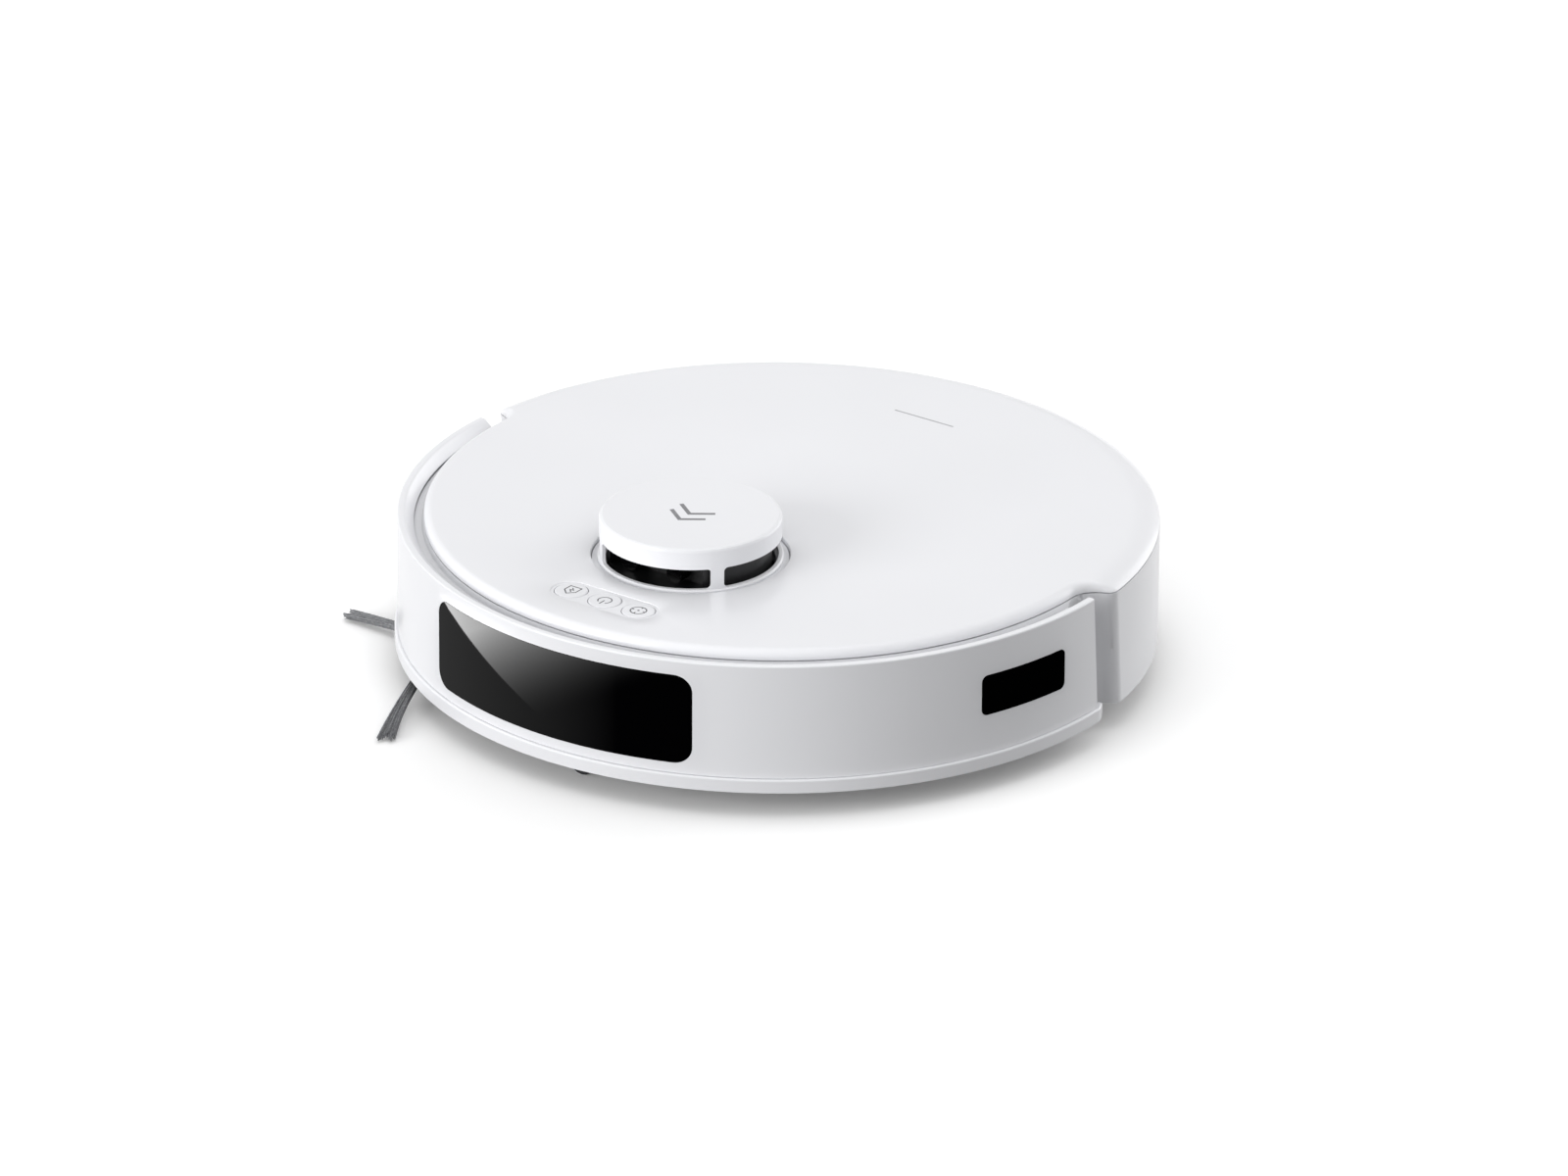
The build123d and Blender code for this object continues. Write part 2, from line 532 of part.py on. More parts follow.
def wheel_hub(side):
    x0, x1 = sorted((side * WHEEL_X0, side * (WHEEL_X1 - 1.5)))
    hub = x_rod(HUB_R, x0, x1, 0, WHEEL_R)
    face0, face1 = sorted((side * (WHEEL_X1 - 6), side * (WHEEL_X1 + 1)))
    hub -= x_rod(HUB_R - 3, face0, face1, 0, WHEEL_R) - x_rod(7, face0, face1, 0, WHEEL_R)
    spoke0, spoke1 = sorted((side * (WHEEL_X1 - 6.5), side * (WHEEL_X1 - 3)))
    for turn in range(5):
        arm = Rot(360 / 5 * turn, 0, 0) * block(spoke0, spoke1, -2, 2, 5, HUB_R - 2)
        hub += Pos(0, 0, WHEEL_R) * arm
    shaft0, shaft1 = sorted((side * (ARM_X0 + 2), side * (WHEEL_X0 + 1)))
    return hub + x_rod(4, shaft0, shaft1, 0, WHEEL_R)


def wheel_tyre(side):
    x0, x1 = sorted((side * WHEEL_X0, side * WHEEL_X1))
    tyre = x_rod(WHEEL_R, x0, x1, 0, WHEEL_R) - x_rod(HUB_R, x0 - 1, x1 + 1, 0, WHEEL_R)
    lugs = 30
    grooves = [Pos(0, 0, WHEEL_R) * Rot(360 / lugs * (turn + 0.5), 0, 0)
               * block(x0 - 1, x1 + 1, -1.1, 1.1, WHEEL_R - 1.5, WHEEL_R + 2) for turn in range(lugs)]
    return tyre - grooves


def wheel_pins():
    pins = []
    for side in (-1, 1):
        x0, x1 = sorted((side * 84.6, side * 103.8))
        pins.append(x_rod(PIN_R, x0, x1, PIVOT_Y, PIVOT_Z))
    return Part() + pins


def caster_socket():
    """Cup round the caster, cut off by the front wall, with a boss for the swivel pin."""
    cup = disc(CASTER_CUP_R + 0.7, PLATE_Z0, 29, 0, CASTER_Y) - disc(CASTER_CUP_R, 0, 27, 0, CASTER_Y)
    cup &= disc(SHOULDER_R - WALL - 0.1, 0, 40)
    cup += disc(7, 28, 31.9, 0, CASTER_Y)
    for side in (-1, 1):
        near, far = sorted((side * (CASTER_CUP_R + 0.2), side * 30))
        cup += block(near, far, CASTER_Y - 5, CASTER_Y + 5, PLATE_Z1, PLATE_Z1 + 2)
    return cup - disc(3.5 + RUNNING, 20, 31.3, 0, CASTER_Y)


def swung(solid):
    """A caster piece drawn ahead of its pivot, moved there and turned to its resting heading."""
    return Pos(0, CASTER_Y, 0) * Rot(0, 0, CASTER_HEADING) * solid


def caster_fork():
    fork = disc(12, 23.5, 26.4) + disc(3.5, 26, 31)
    inner = CASTER_HALF_WIDTH + 0.4
    for side in (-1, 1):
        x0, x1 = sorted((side * inner, side * (inner + 1.8)))
        fork += x_hull([(-CASTER_TRAIL, CASTER_R, 4), (3, 24.9, 1.4), (-6, 24.9, 1.4)], x0, x1)
    return swung(fork - x_rod(1.5, -20, 20, -CASTER_TRAIL, CASTER_R))


def caster_axle():
    reach = CASTER_HALF_WIDTH + 2.2
    return swung(x_rod(1.5, -reach, reach, -CASTER_TRAIL, CASTER_R))


def caster_wheel():
    wheel = x_rod(CASTER_R, -CASTER_HALF_WIDTH, CASTER_HALF_WIDTH, -CASTER_TRAIL, CASTER_R)
    wheel = fillet(wheel.edges().filter_by(GeomType.CIRCLE), 1)
    return swung(wheel - x_rod(1.5 + RUNNING, -20, 20, -CASTER_TRAIL, CASTER_R))


# ================================================================ main brush
def brush_tunnel():
    outer = x_rod(24.5, -84, 84, BRUSH_Y, BRUSH_Z)
    duct = block(-30, 30, BRUSH_Y, BIN_Y0 - GAP, 28, 44)
    tunnel = outer + duct
    tunnel -= x_rod(22, -81.5, 81.5, BRUSH_Y, BRUSH_Z)
    tunnel -= block(-28, 28, BRUSH_Y, BIN_Y0 + 1, 30, 42)
    tunnel &= block(-100, 100, -60, 60, PLATE_Z1, 60)
    return tunnel - x_rod(3 + RUNNING, -90, 90, BRUSH_Y, BRUSH_Z)


def brush_core():
    return x_rod(9, -BRUSH_X, BRUSH_X, BRUSH_Y, BRUSH_Z) + x_rod(3, -83.5, 83.5, BRUSH_Y, BRUSH_Z)


def brush_blades():
    blades = x_rod(11, -BRUSH_X + 1, BRUSH_X - 1, 0, 0)
    for turn in range(6):
        blades += Rot(60 * turn, 0, 0) * block(-BRUSH_X + 1, BRUSH_X - 1, -1.2, 1.2, 9, BRUSH_R)
    return Pos(0, BRUSH_Y, BRUSH_Z) * (blades - x_rod(9, -90, 90, 0, 0))


def brush_guard():
    frame = block(-86, 86, BRUSH_Y - 30, BRUSH_Y + 30, 10.2, PLATE_Z0)
    frame = fillet(frame.edges().filter_by(Axis.Z), 6)
    frame -= block(-79.5, 79.5, BRUSH_Y - 22, BRUSH_Y + 22, 0, 20)
    for side in (-1, 1):
        latch = block(side * 60 - 8, side * 60 + 8, BRUSH_Y + 25, BRUSH_Y + 29, 0, 11)
        frame -= latch
    return frame


def brush_motor():
    """Motor and the flat gear case that reaches the brush's end."""
    return x_rod(10.5, 62.5, 85, -60, 29) + x_hull([(-60, 29, 11.5), (BRUSH_Y, BRUSH_Z, 5.5)], 84.4, 87.4)


# ================================================================ side brush
def side_brush_gearbox():
    box = disc(13, PLATE_Z1, 40, SIDE_BRUSH_X, SIDE_BRUSH_Y) + disc(9, 39, 54, SIDE_BRUSH_X, SIDE_BRUSH_Y)
    return box - disc(3 + RUNNING, 10, 30, SIDE_BRUSH_X, SIDE_BRUSH_Y)


def side_brush_hub():
    hub = disc(12.5, 6, 11.4)
    hub = fillet(hub.edges().group_by(Axis.Z)[0], 2)
    for angle in SIDE_BRUSH_ANGLES:
        lug = Pos(0, 0, 6.5) * Rot(0, 0, angle - 28) * block(8, 21, -4.4, 4.4, 0, 4.4)
        hub += fillet(lug.edges().filter_by(Axis.Z), 1.5)
    hub += disc(6, 11, 14.4) + disc(3, 14, 28)
    return Pos(SIDE_BRUSH_X, SIDE_BRUSH_Y, 0) * hub


def side_brush_bristles():
    """Three trailing tufts: each bends round and drops from the hub to the floor."""
    tufts = []
    for angle in SIDE_BRUSH_ANGLES:
        root = Vector(*polar(17, angle - 30), 8.5)
        elbow = Vector(*polar(54, angle - 11), 5.2)
        tip = Vector(*polar(SIDE_BRUSH_REACH, angle), 2.6)
        path = ThreePointArc(root, elbow, tip)
        profile = Plane(origin=path @ 0, z_dir=path % 0) * Circle(1.9)
        tufts.append(sweep(profile, path=path))
    return Pos(SIDE_BRUSH_X, SIDE_BRUSH_Y, 0) * (Part() + tufts)


# ================================================================ fan, dust bin, water and mop
def fan_housing():
    case = disc(FAN_R, 24, 45, FAN_X, FAN_Y) - disc(FAN_R - 2, 26, 43, FAN_X, FAN_Y)
    case += block(BIN_X + 2, FAN_X - 24, 82, 102, 28, 42)
    case -= block(BIN_X + 1, FAN_X - 18, 84, 100, 30, 40)
    case -= disc(FAN_R - 2, 26, 43, FAN_X, FAN_Y)
    case += ring(FAN_R - 4, FAN_R - 6, PLATE_Z1, 24.5, FAN_X, FAN_Y)
    return case - disc(9, 42, 50, FAN_X, FAN_Y)


def fan_impeller():
    rotor = disc(24, 28, 29.5) + disc(7, 29, 41)
    for turn in range(9):
        blade = ring(16, 14.8, 29, 39) & block(0, 20, 0, 20, 20, 50)
        rotor += Rot(0, 0, 40 * turn) * Pos(-3.5, 6.5, 0) * Rot(0, 0, -70) * blade
    rotor += disc(2, 40, 52)
    return Pos(FAN_X, FAN_Y, 0) * rotor


def fan_motor():
    motor = disc(15, 45, 62, FAN_X, FAN_Y)
    return motor - disc(2 + RUNNING, 40, 54, FAN_X, FAN_Y)


def dust_bin():
    tub = block(-BIN_X, BIN_X, BIN_Y0, BIN_Y1, BIN_Z0, BIN_Z1)
    tub = fillet(tub.edges().filter_by(Axis.Z), 6)
    tub -= block(-BIN_X + 2, BIN_X - 2, BIN_Y0 + 2, BIN_Y1 - 2, BIN_Z0 + 2, BIN_Z1 + 1)
    tub -= block(-28, 28, BIN_Y0 - 1, BIN_Y0 + 3, 30, 42)
    return tub - block(BIN_X - 3, BIN_X + 1, 84, 100, 30, 40)


def bin_cover():
    cover = block(-BIN_X, BIN_X, BIN_Y0, BIN_Y1, BIN_Z1, DECK_Z1)
    cover = fillet(cover.edges().filter_by(Axis.Z), 6)
    cover = fillet(cover.edges().group_by(Axis.Z)[-1], 1)
    grip = block(-26, 26, 62, 70, DECK_Z1 - 0.5, DECK_Z1 + 4)
    return cover + fillet(grip.edges().group_by(Axis.Z)[-1], 1.5)


def dust_filter():
    back = BIN_Y1 - 2
    core = block(-45, 45, back - 8, back, 26, 56)
    pleats = [block(x - 1.2, x + 1.2, back - 11, back - 7, 28, 54) for x in range(-42, 43, 6)]
    return core + pleats


def water_tank():
    plan = Circle(168) & Pos(-110, 98) * Rectangle(84, 72)
    tank = prism(plan, PLATE_Z1, 60)
    tank = fillet(tank.edges().group_by(Axis.Z)[-1], 2)
    tank += disc(6, 59.5, 62.5, -90, 84)
    return tank


def mop_plan(radius, front):
    plan = Circle(radius) & Pos(0, front + 100) * Rectangle(400, 200)
    return fillet(plan.vertices(), 14)


def mop_plate():
    plate = prism(mop_plan(MOP_R, MOP_Y0), MOP_CLOTH_Z, MOP_TOP_Z)
    plate = chamfer(plate.edges().group_by(Axis.Z)[-1], 2)
    return plate - [mop_rail(side * RAIL_X, 0.4, MOP_Y0 - 2, RAIL_Y1 + 2) for side in (-1, 1)]


def mop_cloth():
    return prism(mop_plan(MOP_R - 1, MOP_Y0 + 1), 0, MOP_CLOTH_Z)


# ================================================================ every node
def nodes():
    made = {
        "base_plate": base_plate(), "rear_shell": rear_shell(), "front_frame": front_frame(),
        "top_deck": top_deck(), "deck_posts": deck_posts(), "frame_screws": frame_screws(),
        "cliff_sensors": cliff_sensors(),
        "charge_contacts": charge_contacts(), "dock_sensor_window": dock_sensor_window(),
        "main_board": main_board(), "battery_pack": battery_pack(), "bumper_switches": bumper_switches(),
        "obstacle_sensor": obstacle_sensor(), "lid": lid(), "lid_magnets": lid_magnets(),
        "bumper_shell": bumper_shell(), "bumper_skirt": bumper_skirt(), "front_window": front_window(),
        "side_window": side_window(), "lidar_base": lidar_base(), "lidar_cover": lidar_cover(),
        "lidar_drum": lidar_drum(), "lidar_lenses": lidar_lenses(), "lidar_motor": lidar_motor(),
        "lidar_motor_pulley": lidar_motor_pulley(), "lidar_belt": lidar_belt(), "wheel_pins": wheel_pins(),
        "caster_socket": caster_socket(), "caster_fork": caster_fork(), "caster_axle": caster_axle(),
        "caster_wheel": caster_wheel(), "brush_tunnel": brush_tunnel(), "brush_core": brush_core(),
        "brush_blades": brush_blades(), "brush_guard": brush_guard(), "brush_motor": brush_motor(),
        "button_switches": button_switches(), "side_brush_gearbox": side_brush_gearbox(),
        "side_brush_hub": side_brush_hub(), "side_brush_bristles": side_brush_bristles(),
        "fan_housing": fan_housing(), "fan_impeller": fan_impeller(), "fan_motor": fan_motor(),
        "dust_bin": dust_bin(), "bin_cover": bin_cover(), "dust_filter": dust_filter(),
        "water_tank": water_tank(), "mop_plate": mop_plate(), "mop_cloth": mop_cloth(),
    }
    for name, (x, y) in zip(("home_button", "power_button", "spot_button"), button_places()):
        made[name] = button(x, y)
    for word, side in (("left", 1), ("right", -1)):
        made[f"{word}_wheel_arm"] = wheel_arm(side)
        made[f"{word}_wheel_spring"] = wheel_spring(side)
        made[f"{word}_wheel_hub"] = wheel_hub(side)
        made[f"{word}_wheel_tyre"] = wheel_tyre(side)
    return made


os.makedirs("parts", exist_ok=True)
for node_name, node_shape in nodes().items():
    export_step(node_shape, f"parts/{node_name}.step")
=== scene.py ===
"""Looks of the round robotic floor cleaner: finishes, rolled lid, bristles, mop pile, icons and studio.

Metres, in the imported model's own frame: the floor is z = 0 and the front is -Y.
"""

import bmesh
import bpy
import json
import math
import random
from mathutils import Matrix, Vector


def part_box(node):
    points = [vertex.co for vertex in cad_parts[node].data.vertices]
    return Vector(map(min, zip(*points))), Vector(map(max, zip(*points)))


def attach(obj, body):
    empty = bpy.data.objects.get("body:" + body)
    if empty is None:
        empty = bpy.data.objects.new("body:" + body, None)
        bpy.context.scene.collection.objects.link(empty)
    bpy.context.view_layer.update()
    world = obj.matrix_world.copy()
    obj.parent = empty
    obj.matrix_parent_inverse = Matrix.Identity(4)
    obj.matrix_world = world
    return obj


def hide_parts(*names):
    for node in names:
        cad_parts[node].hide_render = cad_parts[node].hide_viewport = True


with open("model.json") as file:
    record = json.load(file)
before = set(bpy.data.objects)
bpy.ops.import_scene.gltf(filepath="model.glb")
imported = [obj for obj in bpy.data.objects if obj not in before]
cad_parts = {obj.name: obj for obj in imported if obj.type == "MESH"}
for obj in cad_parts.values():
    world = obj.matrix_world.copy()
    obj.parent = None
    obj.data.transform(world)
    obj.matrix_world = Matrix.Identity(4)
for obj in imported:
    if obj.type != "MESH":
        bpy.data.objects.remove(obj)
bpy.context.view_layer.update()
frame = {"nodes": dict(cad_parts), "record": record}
MM = 0.001

# ---------------------------------------------------------------- sizes read from the frame
lid_low, lid_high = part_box("lid")
cover_low, cover_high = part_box("lidar_cover")
core_low, core_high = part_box("brush_core")
cloth_low, cloth_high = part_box("mop_cloth")
power_low, power_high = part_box("power_button")
home_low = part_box("home_button")[0]

BODY_R = lid_high.y
LID_FRONT_R = -lid_low.y
LID_TOP = lid_high.z
TURRET_Y = (cover_low.y + cover_high.y) / 2
BUTTON_Y = (power_low.y + power_high.y) / 2
BUTTON_PITCH = power_low.x - home_low.x
BUTTON_TOP = power_high.z

# ---------------------------------------------------------------- lid profile: the solid's, front edge softer
STEP_R, STEP_Y = 13.5 * MM, 5 * MM
NOTCH_ROUND = 5 * MM
LID_SKIN = 2.4 * MM
LID_UNDER = LID_TOP - LID_SKIN
LID_EDGE = lid_low.z
ROLL_FRONT = 4 * MM
DOME_INSET, DOME_ROUND = 13.5 * MM, 20.7 * MM
TURRET_HOLE_R = 45.2 * MM
BUTTON_HOLE_R, SEAT_R = 7.9 * MM, 9.4 * MM
SEAM_LIP = 3 * MM


# ================================================================ mesh helpers
def mesh_object(name, verts, faces, sharp_angle=35):
    """Mesh piece with smooth faces and crisp edges above an angle."""
    mesh = bpy.data.meshes.new(name)
    mesh.from_pydata([tuple(v) for v in verts], [], faces)
    mesh.validate()
    return finished_object(name, mesh, sharp_angle)


def finished_object(name, mesh, sharp_angle=35):
    """Object for a mesh, smooth below the angle and crisp above it."""
    mesh.polygons.foreach_set("use_smooth", [True] * len(mesh.polygons))
    mesh.set_sharp_from_angle(angle=math.radians(sharp_angle))
    piece = bpy.data.objects.new(name, mesh)
    bpy.context.scene.collection.objects.link(piece)
    return piece


def bmesh_object(name, bm, sharp_angle=35):
    """Object made from an edit mesh, with doubled points merged and faces turned outwards."""
    bmesh.ops.remove_doubles(bm, verts=bm.verts, dist=1e-6)
    bmesh.ops.recalc_face_normals(bm, faces=bm.faces)
    mesh = bpy.data.meshes.new(name)
    bm.to_mesh(mesh)
    bm.free()
    return finished_object(name, mesh, sharp_angle)


def place(piece, body, slot, material, *replaced):
    """Gives a piece its body and finish, and hides the nodes that it stands for."""
    piece.data.materials.clear()
    piece.data.materials.append(material)
    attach(piece, body)
    if replaced:
        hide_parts(*replaced)
    return piece


def add_ring(bm, points):
    """New vertices at a list of points."""
    return [bm.verts.new(p) for p in points]


def bridge(bm, ring_a, ring_b):
    """Quads between two closed rings of the same length."""
    count = len(ring_a)
    for i in range(count):
        j = (i + 1) % count
        bm.faces.new((ring_a[i], ring_a[j], ring_b[j], ring_b[i]))


def fill_between(bm, loops):
    """Flat faces inside the first loop and outside the others."""
    edges = []
    for loop in loops:
        for i, vert in enumerate(loop):
            other = loop[(i + 1) % len(loop)]
            edges.append(bm.edges.get((vert, other)) or bm.edges.new((vert, other)))
    bmesh.ops.triangle_fill(bm, use_beauty=True, use_dissolve=False, edges=edges)


def circle_points(r, z, x=0.0, y=0.0, count=96):
    """Outline of a flat circle."""
    return [(x + r * math.cos(math.tau * i / count), y + r * math.sin(math.tau * i / count), z)
            for i in range(count)]


def pill_points(r, z, half_length, y, steps=24):
    """Outline of a pill along X."""
    points = []
    for side, start in ((1, -math.pi / 2), (-1, math.pi / 2)):
        for i in range(steps + 1):
            angle = start + math.pi * i / steps
            points.append((side * half_length + r * math.cos(angle), y + r * math.sin(angle), z))
    return points


def tube(verts, faces, path, radii, sides=5):
    """Adds a closed tapered tube along a path to lists of vertices and faces."""
    start = len(verts)
    for i, point in enumerate(path):
        ahead = path[min(i + 1, len(path) - 1)] - path[max(i - 1, 0)]
        across = ahead.cross(Vector((0, 0, 1)))
        across = across.normalized() if across.length > 1e-9 else Vector((1, 0, 0))
        up = across.cross(ahead).normalized()
        for k in range(sides):
            angle = math.tau * k / sides
            verts.append(point + radii[i] * (math.cos(angle) * across + math.sin(angle) * up))
    for i in range(len(path) - 1):
        for k in range(sides):
            a, b = start + i * sides + k, start + i * sides + (k + 1) % sides
            faces.append((a, b, b + sides, a + sides))
    faces.append(tuple(start + k for k in reversed(range(sides))))
    faces.append(tuple(start + (len(path) - 1) * sides + k for k in range(sides)))


# ================================================================ materials
class Finish:
    """Principled material with object-space detail."""

    def __init__(self, name, colour, roughness, metallic=0.0, specular=0.5, coat=0.0):
        self.material = bpy.data.materials.new(name)
        self.material.use_nodes = True
        self.nodes = self.material.node_tree.nodes
        self.links = self.material.node_tree.links
        self.shader = self.nodes["Principled BSDF"]
        self.shader.inputs["Base Color"].default_value = (*colour, 1)
        self.shader.inputs["Roughness"].default_value = roughness
        self.shader.inputs["Metallic"].default_value = metallic
        self.shader.inputs["Specular IOR Level"].default_value = specular
        self.shader.inputs["Coat Weight"].default_value = coat
        self.colour, self.roughness = colour, roughness
        self.place = self.nodes.new("ShaderNodeTexCoord").outputs["Object"]
        self.normal = None

    def noise(self, scale, detail=2.0, stretch=None, rough=0.5):
        node = self.nodes.new("ShaderNodeTexNoise")
        node.inputs["Scale"].default_value = scale
        node.inputs["Detail"].default_value = detail
        node.inputs["Roughness"].default_value = rough
        place = self.place
        if stretch:
            mapping = self.nodes.new("ShaderNodeMapping")
            mapping.inputs["Scale"].default_value = stretch
            self.links.new(place, mapping.inputs["Vector"])
            place = mapping.outputs["Vector"]
        self.links.new(place, node.inputs["Vector"])
        return node.outputs["Fac"]

    def ranged(self, value, low, high):
        node = self.nodes.new("ShaderNodeMapRange")
        node.inputs["From Min"].default_value = 0.3
        node.inputs["From Max"].default_value = 0.7
        node.inputs["To Min"].default_value = low
        node.inputs["To Max"].default_value = high
        self.links.new(value, node.inputs["Value"])
        return node.outputs["Result"]

    def vary_roughness(self, scale, spread, **kind):
        value = self.ranged(self.noise(scale, **kind), self.roughness - spread, self.roughness + spread)
        self.links.new(value, self.shader.inputs["Roughness"])
        return self

    def vary_colour(self, scale, other, **kind):
        mix = self.nodes.new("ShaderNodeMix")
        mix.data_type = "RGBA"
        mix.inputs["A"].default_value = (*self.colour, 1)
        mix.inputs["B"].default_value = (*other, 1)
        self.links.new(self.ranged(self.noise(scale, **kind), 0.0, 1.0), mix.inputs["Factor"])
        self.links.new(mix.outputs["Result"], self.shader.inputs["Base Color"])
        return self

    def bump(self, height, strength, distance):
        node = self.nodes.new("ShaderNodeBump")
        node.inputs["Strength"].default_value = strength
        node.inputs["Distance"].default_value = distance
        self.links.new(height, node.inputs["Height"])
        if self.normal:
            self.links.new(self.normal, node.inputs["Normal"])
        self.normal = node.outputs["Normal"]
        self.links.new(self.normal, self.shader.inputs["Normal"])
        return self

    def grain(self, scale, strength, distance, **kind):
        return self.bump(self.noise(scale, **kind), strength, distance)

    def wave(self, scale, strength, distance, direction="X", profile="SIN"):
        node = self.nodes.new("ShaderNodeTexWave")
        node.bands_direction = direction
        node.wave_profile = profile
        node.inputs["Scale"].default_value = scale
        self.links.new(self.place, node.inputs["Vector"])
        return self.bump(node.outputs["Fac"], strength, distance)


def shell_white(name, colour, roughness, coat):
    """Satin white plastic with the faintest unevenness."""
    finish = Finish(name, colour, roughness, specular=0.45, coat=coat)
    finish.shader.inputs["Coat Roughness"].default_value = 0.12
    finish.vary_colour(14, tuple(c * 0.985 for c in colour), detail=1)
    finish.vary_roughness(40, 0.03)
    return finish.grain(2600, 0.05, 0.00002).material


def window_black(name):
    """Glossy black plastic that only infrared light passes."""
    finish = Finish(name, (0.0006, 0.0006, 0.0008), 0.04, specular=0.5)
    finish.vary_roughness(25, 0.01)
    return finish.grain(60, 0.01, 0.00005).material


def moulded(name, colour, roughness=0.5):
    """Fine spark-eroded grain of an injection-moulded part."""
    finish = Finish(name, colour, roughness)
    finish.vary_colour(60, tuple(c * 0.86 for c in colour))
    finish.vary_roughness(90, 0.06)
    return finish.grain(1500, 0.25, 0.00008, detail=3).material


def rubber(name, colour):
    finish = Finish(name, colour, 0.72, specular=0.3)
    finish.vary_colour(160, tuple(c * 1.6 for c in colour), detail=4)
    return finish.grain(900, 0.35, 0.0001, detail=3).material


def metal(name, colour, roughness, stretch):
    finish = Finish(name, colour, roughness, metallic=1.0)
    finish.vary_roughness(500, 0.1, stretch=stretch)
    return finish.grain(700, 0.15, 0.00004, stretch=stretch).material


def circuit_board(name):
    finish = Finish(name, (0.012, 0.09, 0.04), 0.35, coat=0.4)
    finish.vary_colour(220, (0.03, 0.2, 0.09), detail=0, rough=0.1)
    return finish.wave(120, 0.4, 0.00006, profile="SAW").material


def cell_wrap(name):
    finish = Finish(name, (0.02, 0.07, 0.30), 0.28)
    finish.vary_colour(35, (0.03, 0.1, 0.38))
    return finish.wave(17, 0.6, 0.0006).grain(180, 0.3, 0.0002).material


def clear_plastic(name, colour, roughness, clarity):
    finish = Finish(name, colour, roughness)
    finish.shader.inputs["Transmission Weight"].default_value = clarity
    finish.vary_roughness(50, roughness * 0.3)
    return finish.grain(300, 0.1, 0.00005).material


def filter_paper(name):
    finish = Finish(name, (0.80, 0.80, 0.77), 0.9, specular=0.1)
    finish.vary_colour(300, (0.70, 0.70, 0.67), detail=4)
    return finish.grain(1200, 0.6, 0.0002, detail=4).material


def microfibre(name):
    finish = Finish(name, (0.36, 0.42, 0.50), 0.95, specular=0.1)
    finish.shader.inputs["Sheen Weight"].default_value = 0.5
    finish.vary_colour(420, (0.24, 0.29, 0.37), detail=4)
    return finish.grain(900, 0.9, 0.0006, detail=4).material


def nylon(name, colour, other):
    finish = Finish(name, colour, 0.38, specular=0.6)
    finish.vary_colour(700, other, detail=1, stretch=(1, 1, 3))
    return finish.grain(3000, 0.2, 0.00005).material


def printed(name, colour):
    finish = Finish(name, colour, 0.45)
    finish.vary_colour(400, tuple(c * 1.2 for c in colour))
    return finish.grain(2000, 0.1, 0.00003).material


SHELL = shell_white("shell_white", (0.80, 0.805, 0.83), 0.34, 0.25)
TRIM = shell_white("trim_white", (0.74, 0.745, 0.765), 0.5, 0.0)
WINDOW = window_black("window_black")
FRAME_GREY = moulded("frame_grey", (0.16, 0.165, 0.175))
UNDERSIDE = moulded("underside_white", (0.66, 0.665, 0.68), 0.55)
DARK = moulded("dark_plastic", (0.028, 0.029, 0.032), 0.45)
TYRE = rubber("tyre_rubber", (0.018, 0.018, 0.02))
BLADE = rubber("brush_rubber", (0.06, 0.062, 0.07))
BRISTLE = nylon("bristle", (0.16, 0.163, 0.172), (0.34, 0.345, 0.36))
STEEL = metal("steel", (0.62, 0.62, 0.64), 0.32, (1, 1, 0.08))
CONTACT = metal("contact", (0.86, 0.66, 0.34), 0.22, (0.1, 1, 1))
BOARD = circuit_board("board_green")
CELLS = cell_wrap("cell_blue")
SMOKE = clear_plastic("bin_smoke", (0.26, 0.27, 0.29), 0.18, 0.75)
TANK = clear_plastic("tank_clear", (0.62, 0.70, 0.76), 0.4, 0.5)
FILTER = filter_paper("filter_white")
MOP = microfibre("mop_fabric")
LENS = window_black("lens")
DRUM = moulded("drum_black", (0.006, 0.006, 0.007), 0.42)
BELT = rubber("belt", (0.03, 0.03, 0.032))
ICON = printed("icon_grey", (0.035, 0.035, 0.04))
MARK = printed("mark_grey", (0.19, 0.19, 0.20))
LID_MARK = printed("lid_mark_grey", (0.34, 0.34, 0.36))

SLOT_FINISH = {
    "shell_white": SHELL, "trim_white": TRIM, "window_black": WINDOW, "frame_grey": FRAME_GREY,
    "underside_white": UNDERSIDE, "dark_plastic": DARK, "tyre_rubber": TYRE, "brush_rubber": BLADE,
    "bristle": BRISTLE, "steel": STEEL, "contact": CONTACT, "board_green": BOARD, "cell_blue": CELLS,
    "bin_smoke": SMOKE, "tank_clear": TANK, "filter_white": FILTER, "mop_fabric": MOP, "lens": LENS,
    "belt": BELT,
}


def finish_cad_nodes():
    """Every carried-over node gets the finish of its slot."""
    for part in frame["record"]["subparts"]:
        piece = frame["nodes"][part["node"]]
        for slot in piece.material_slots:
            slot.material = SLOT_FINISH[part["material_slot"]]
    for slot in frame["nodes"]["lidar_drum"].material_slots:
        slot.material = DRUM


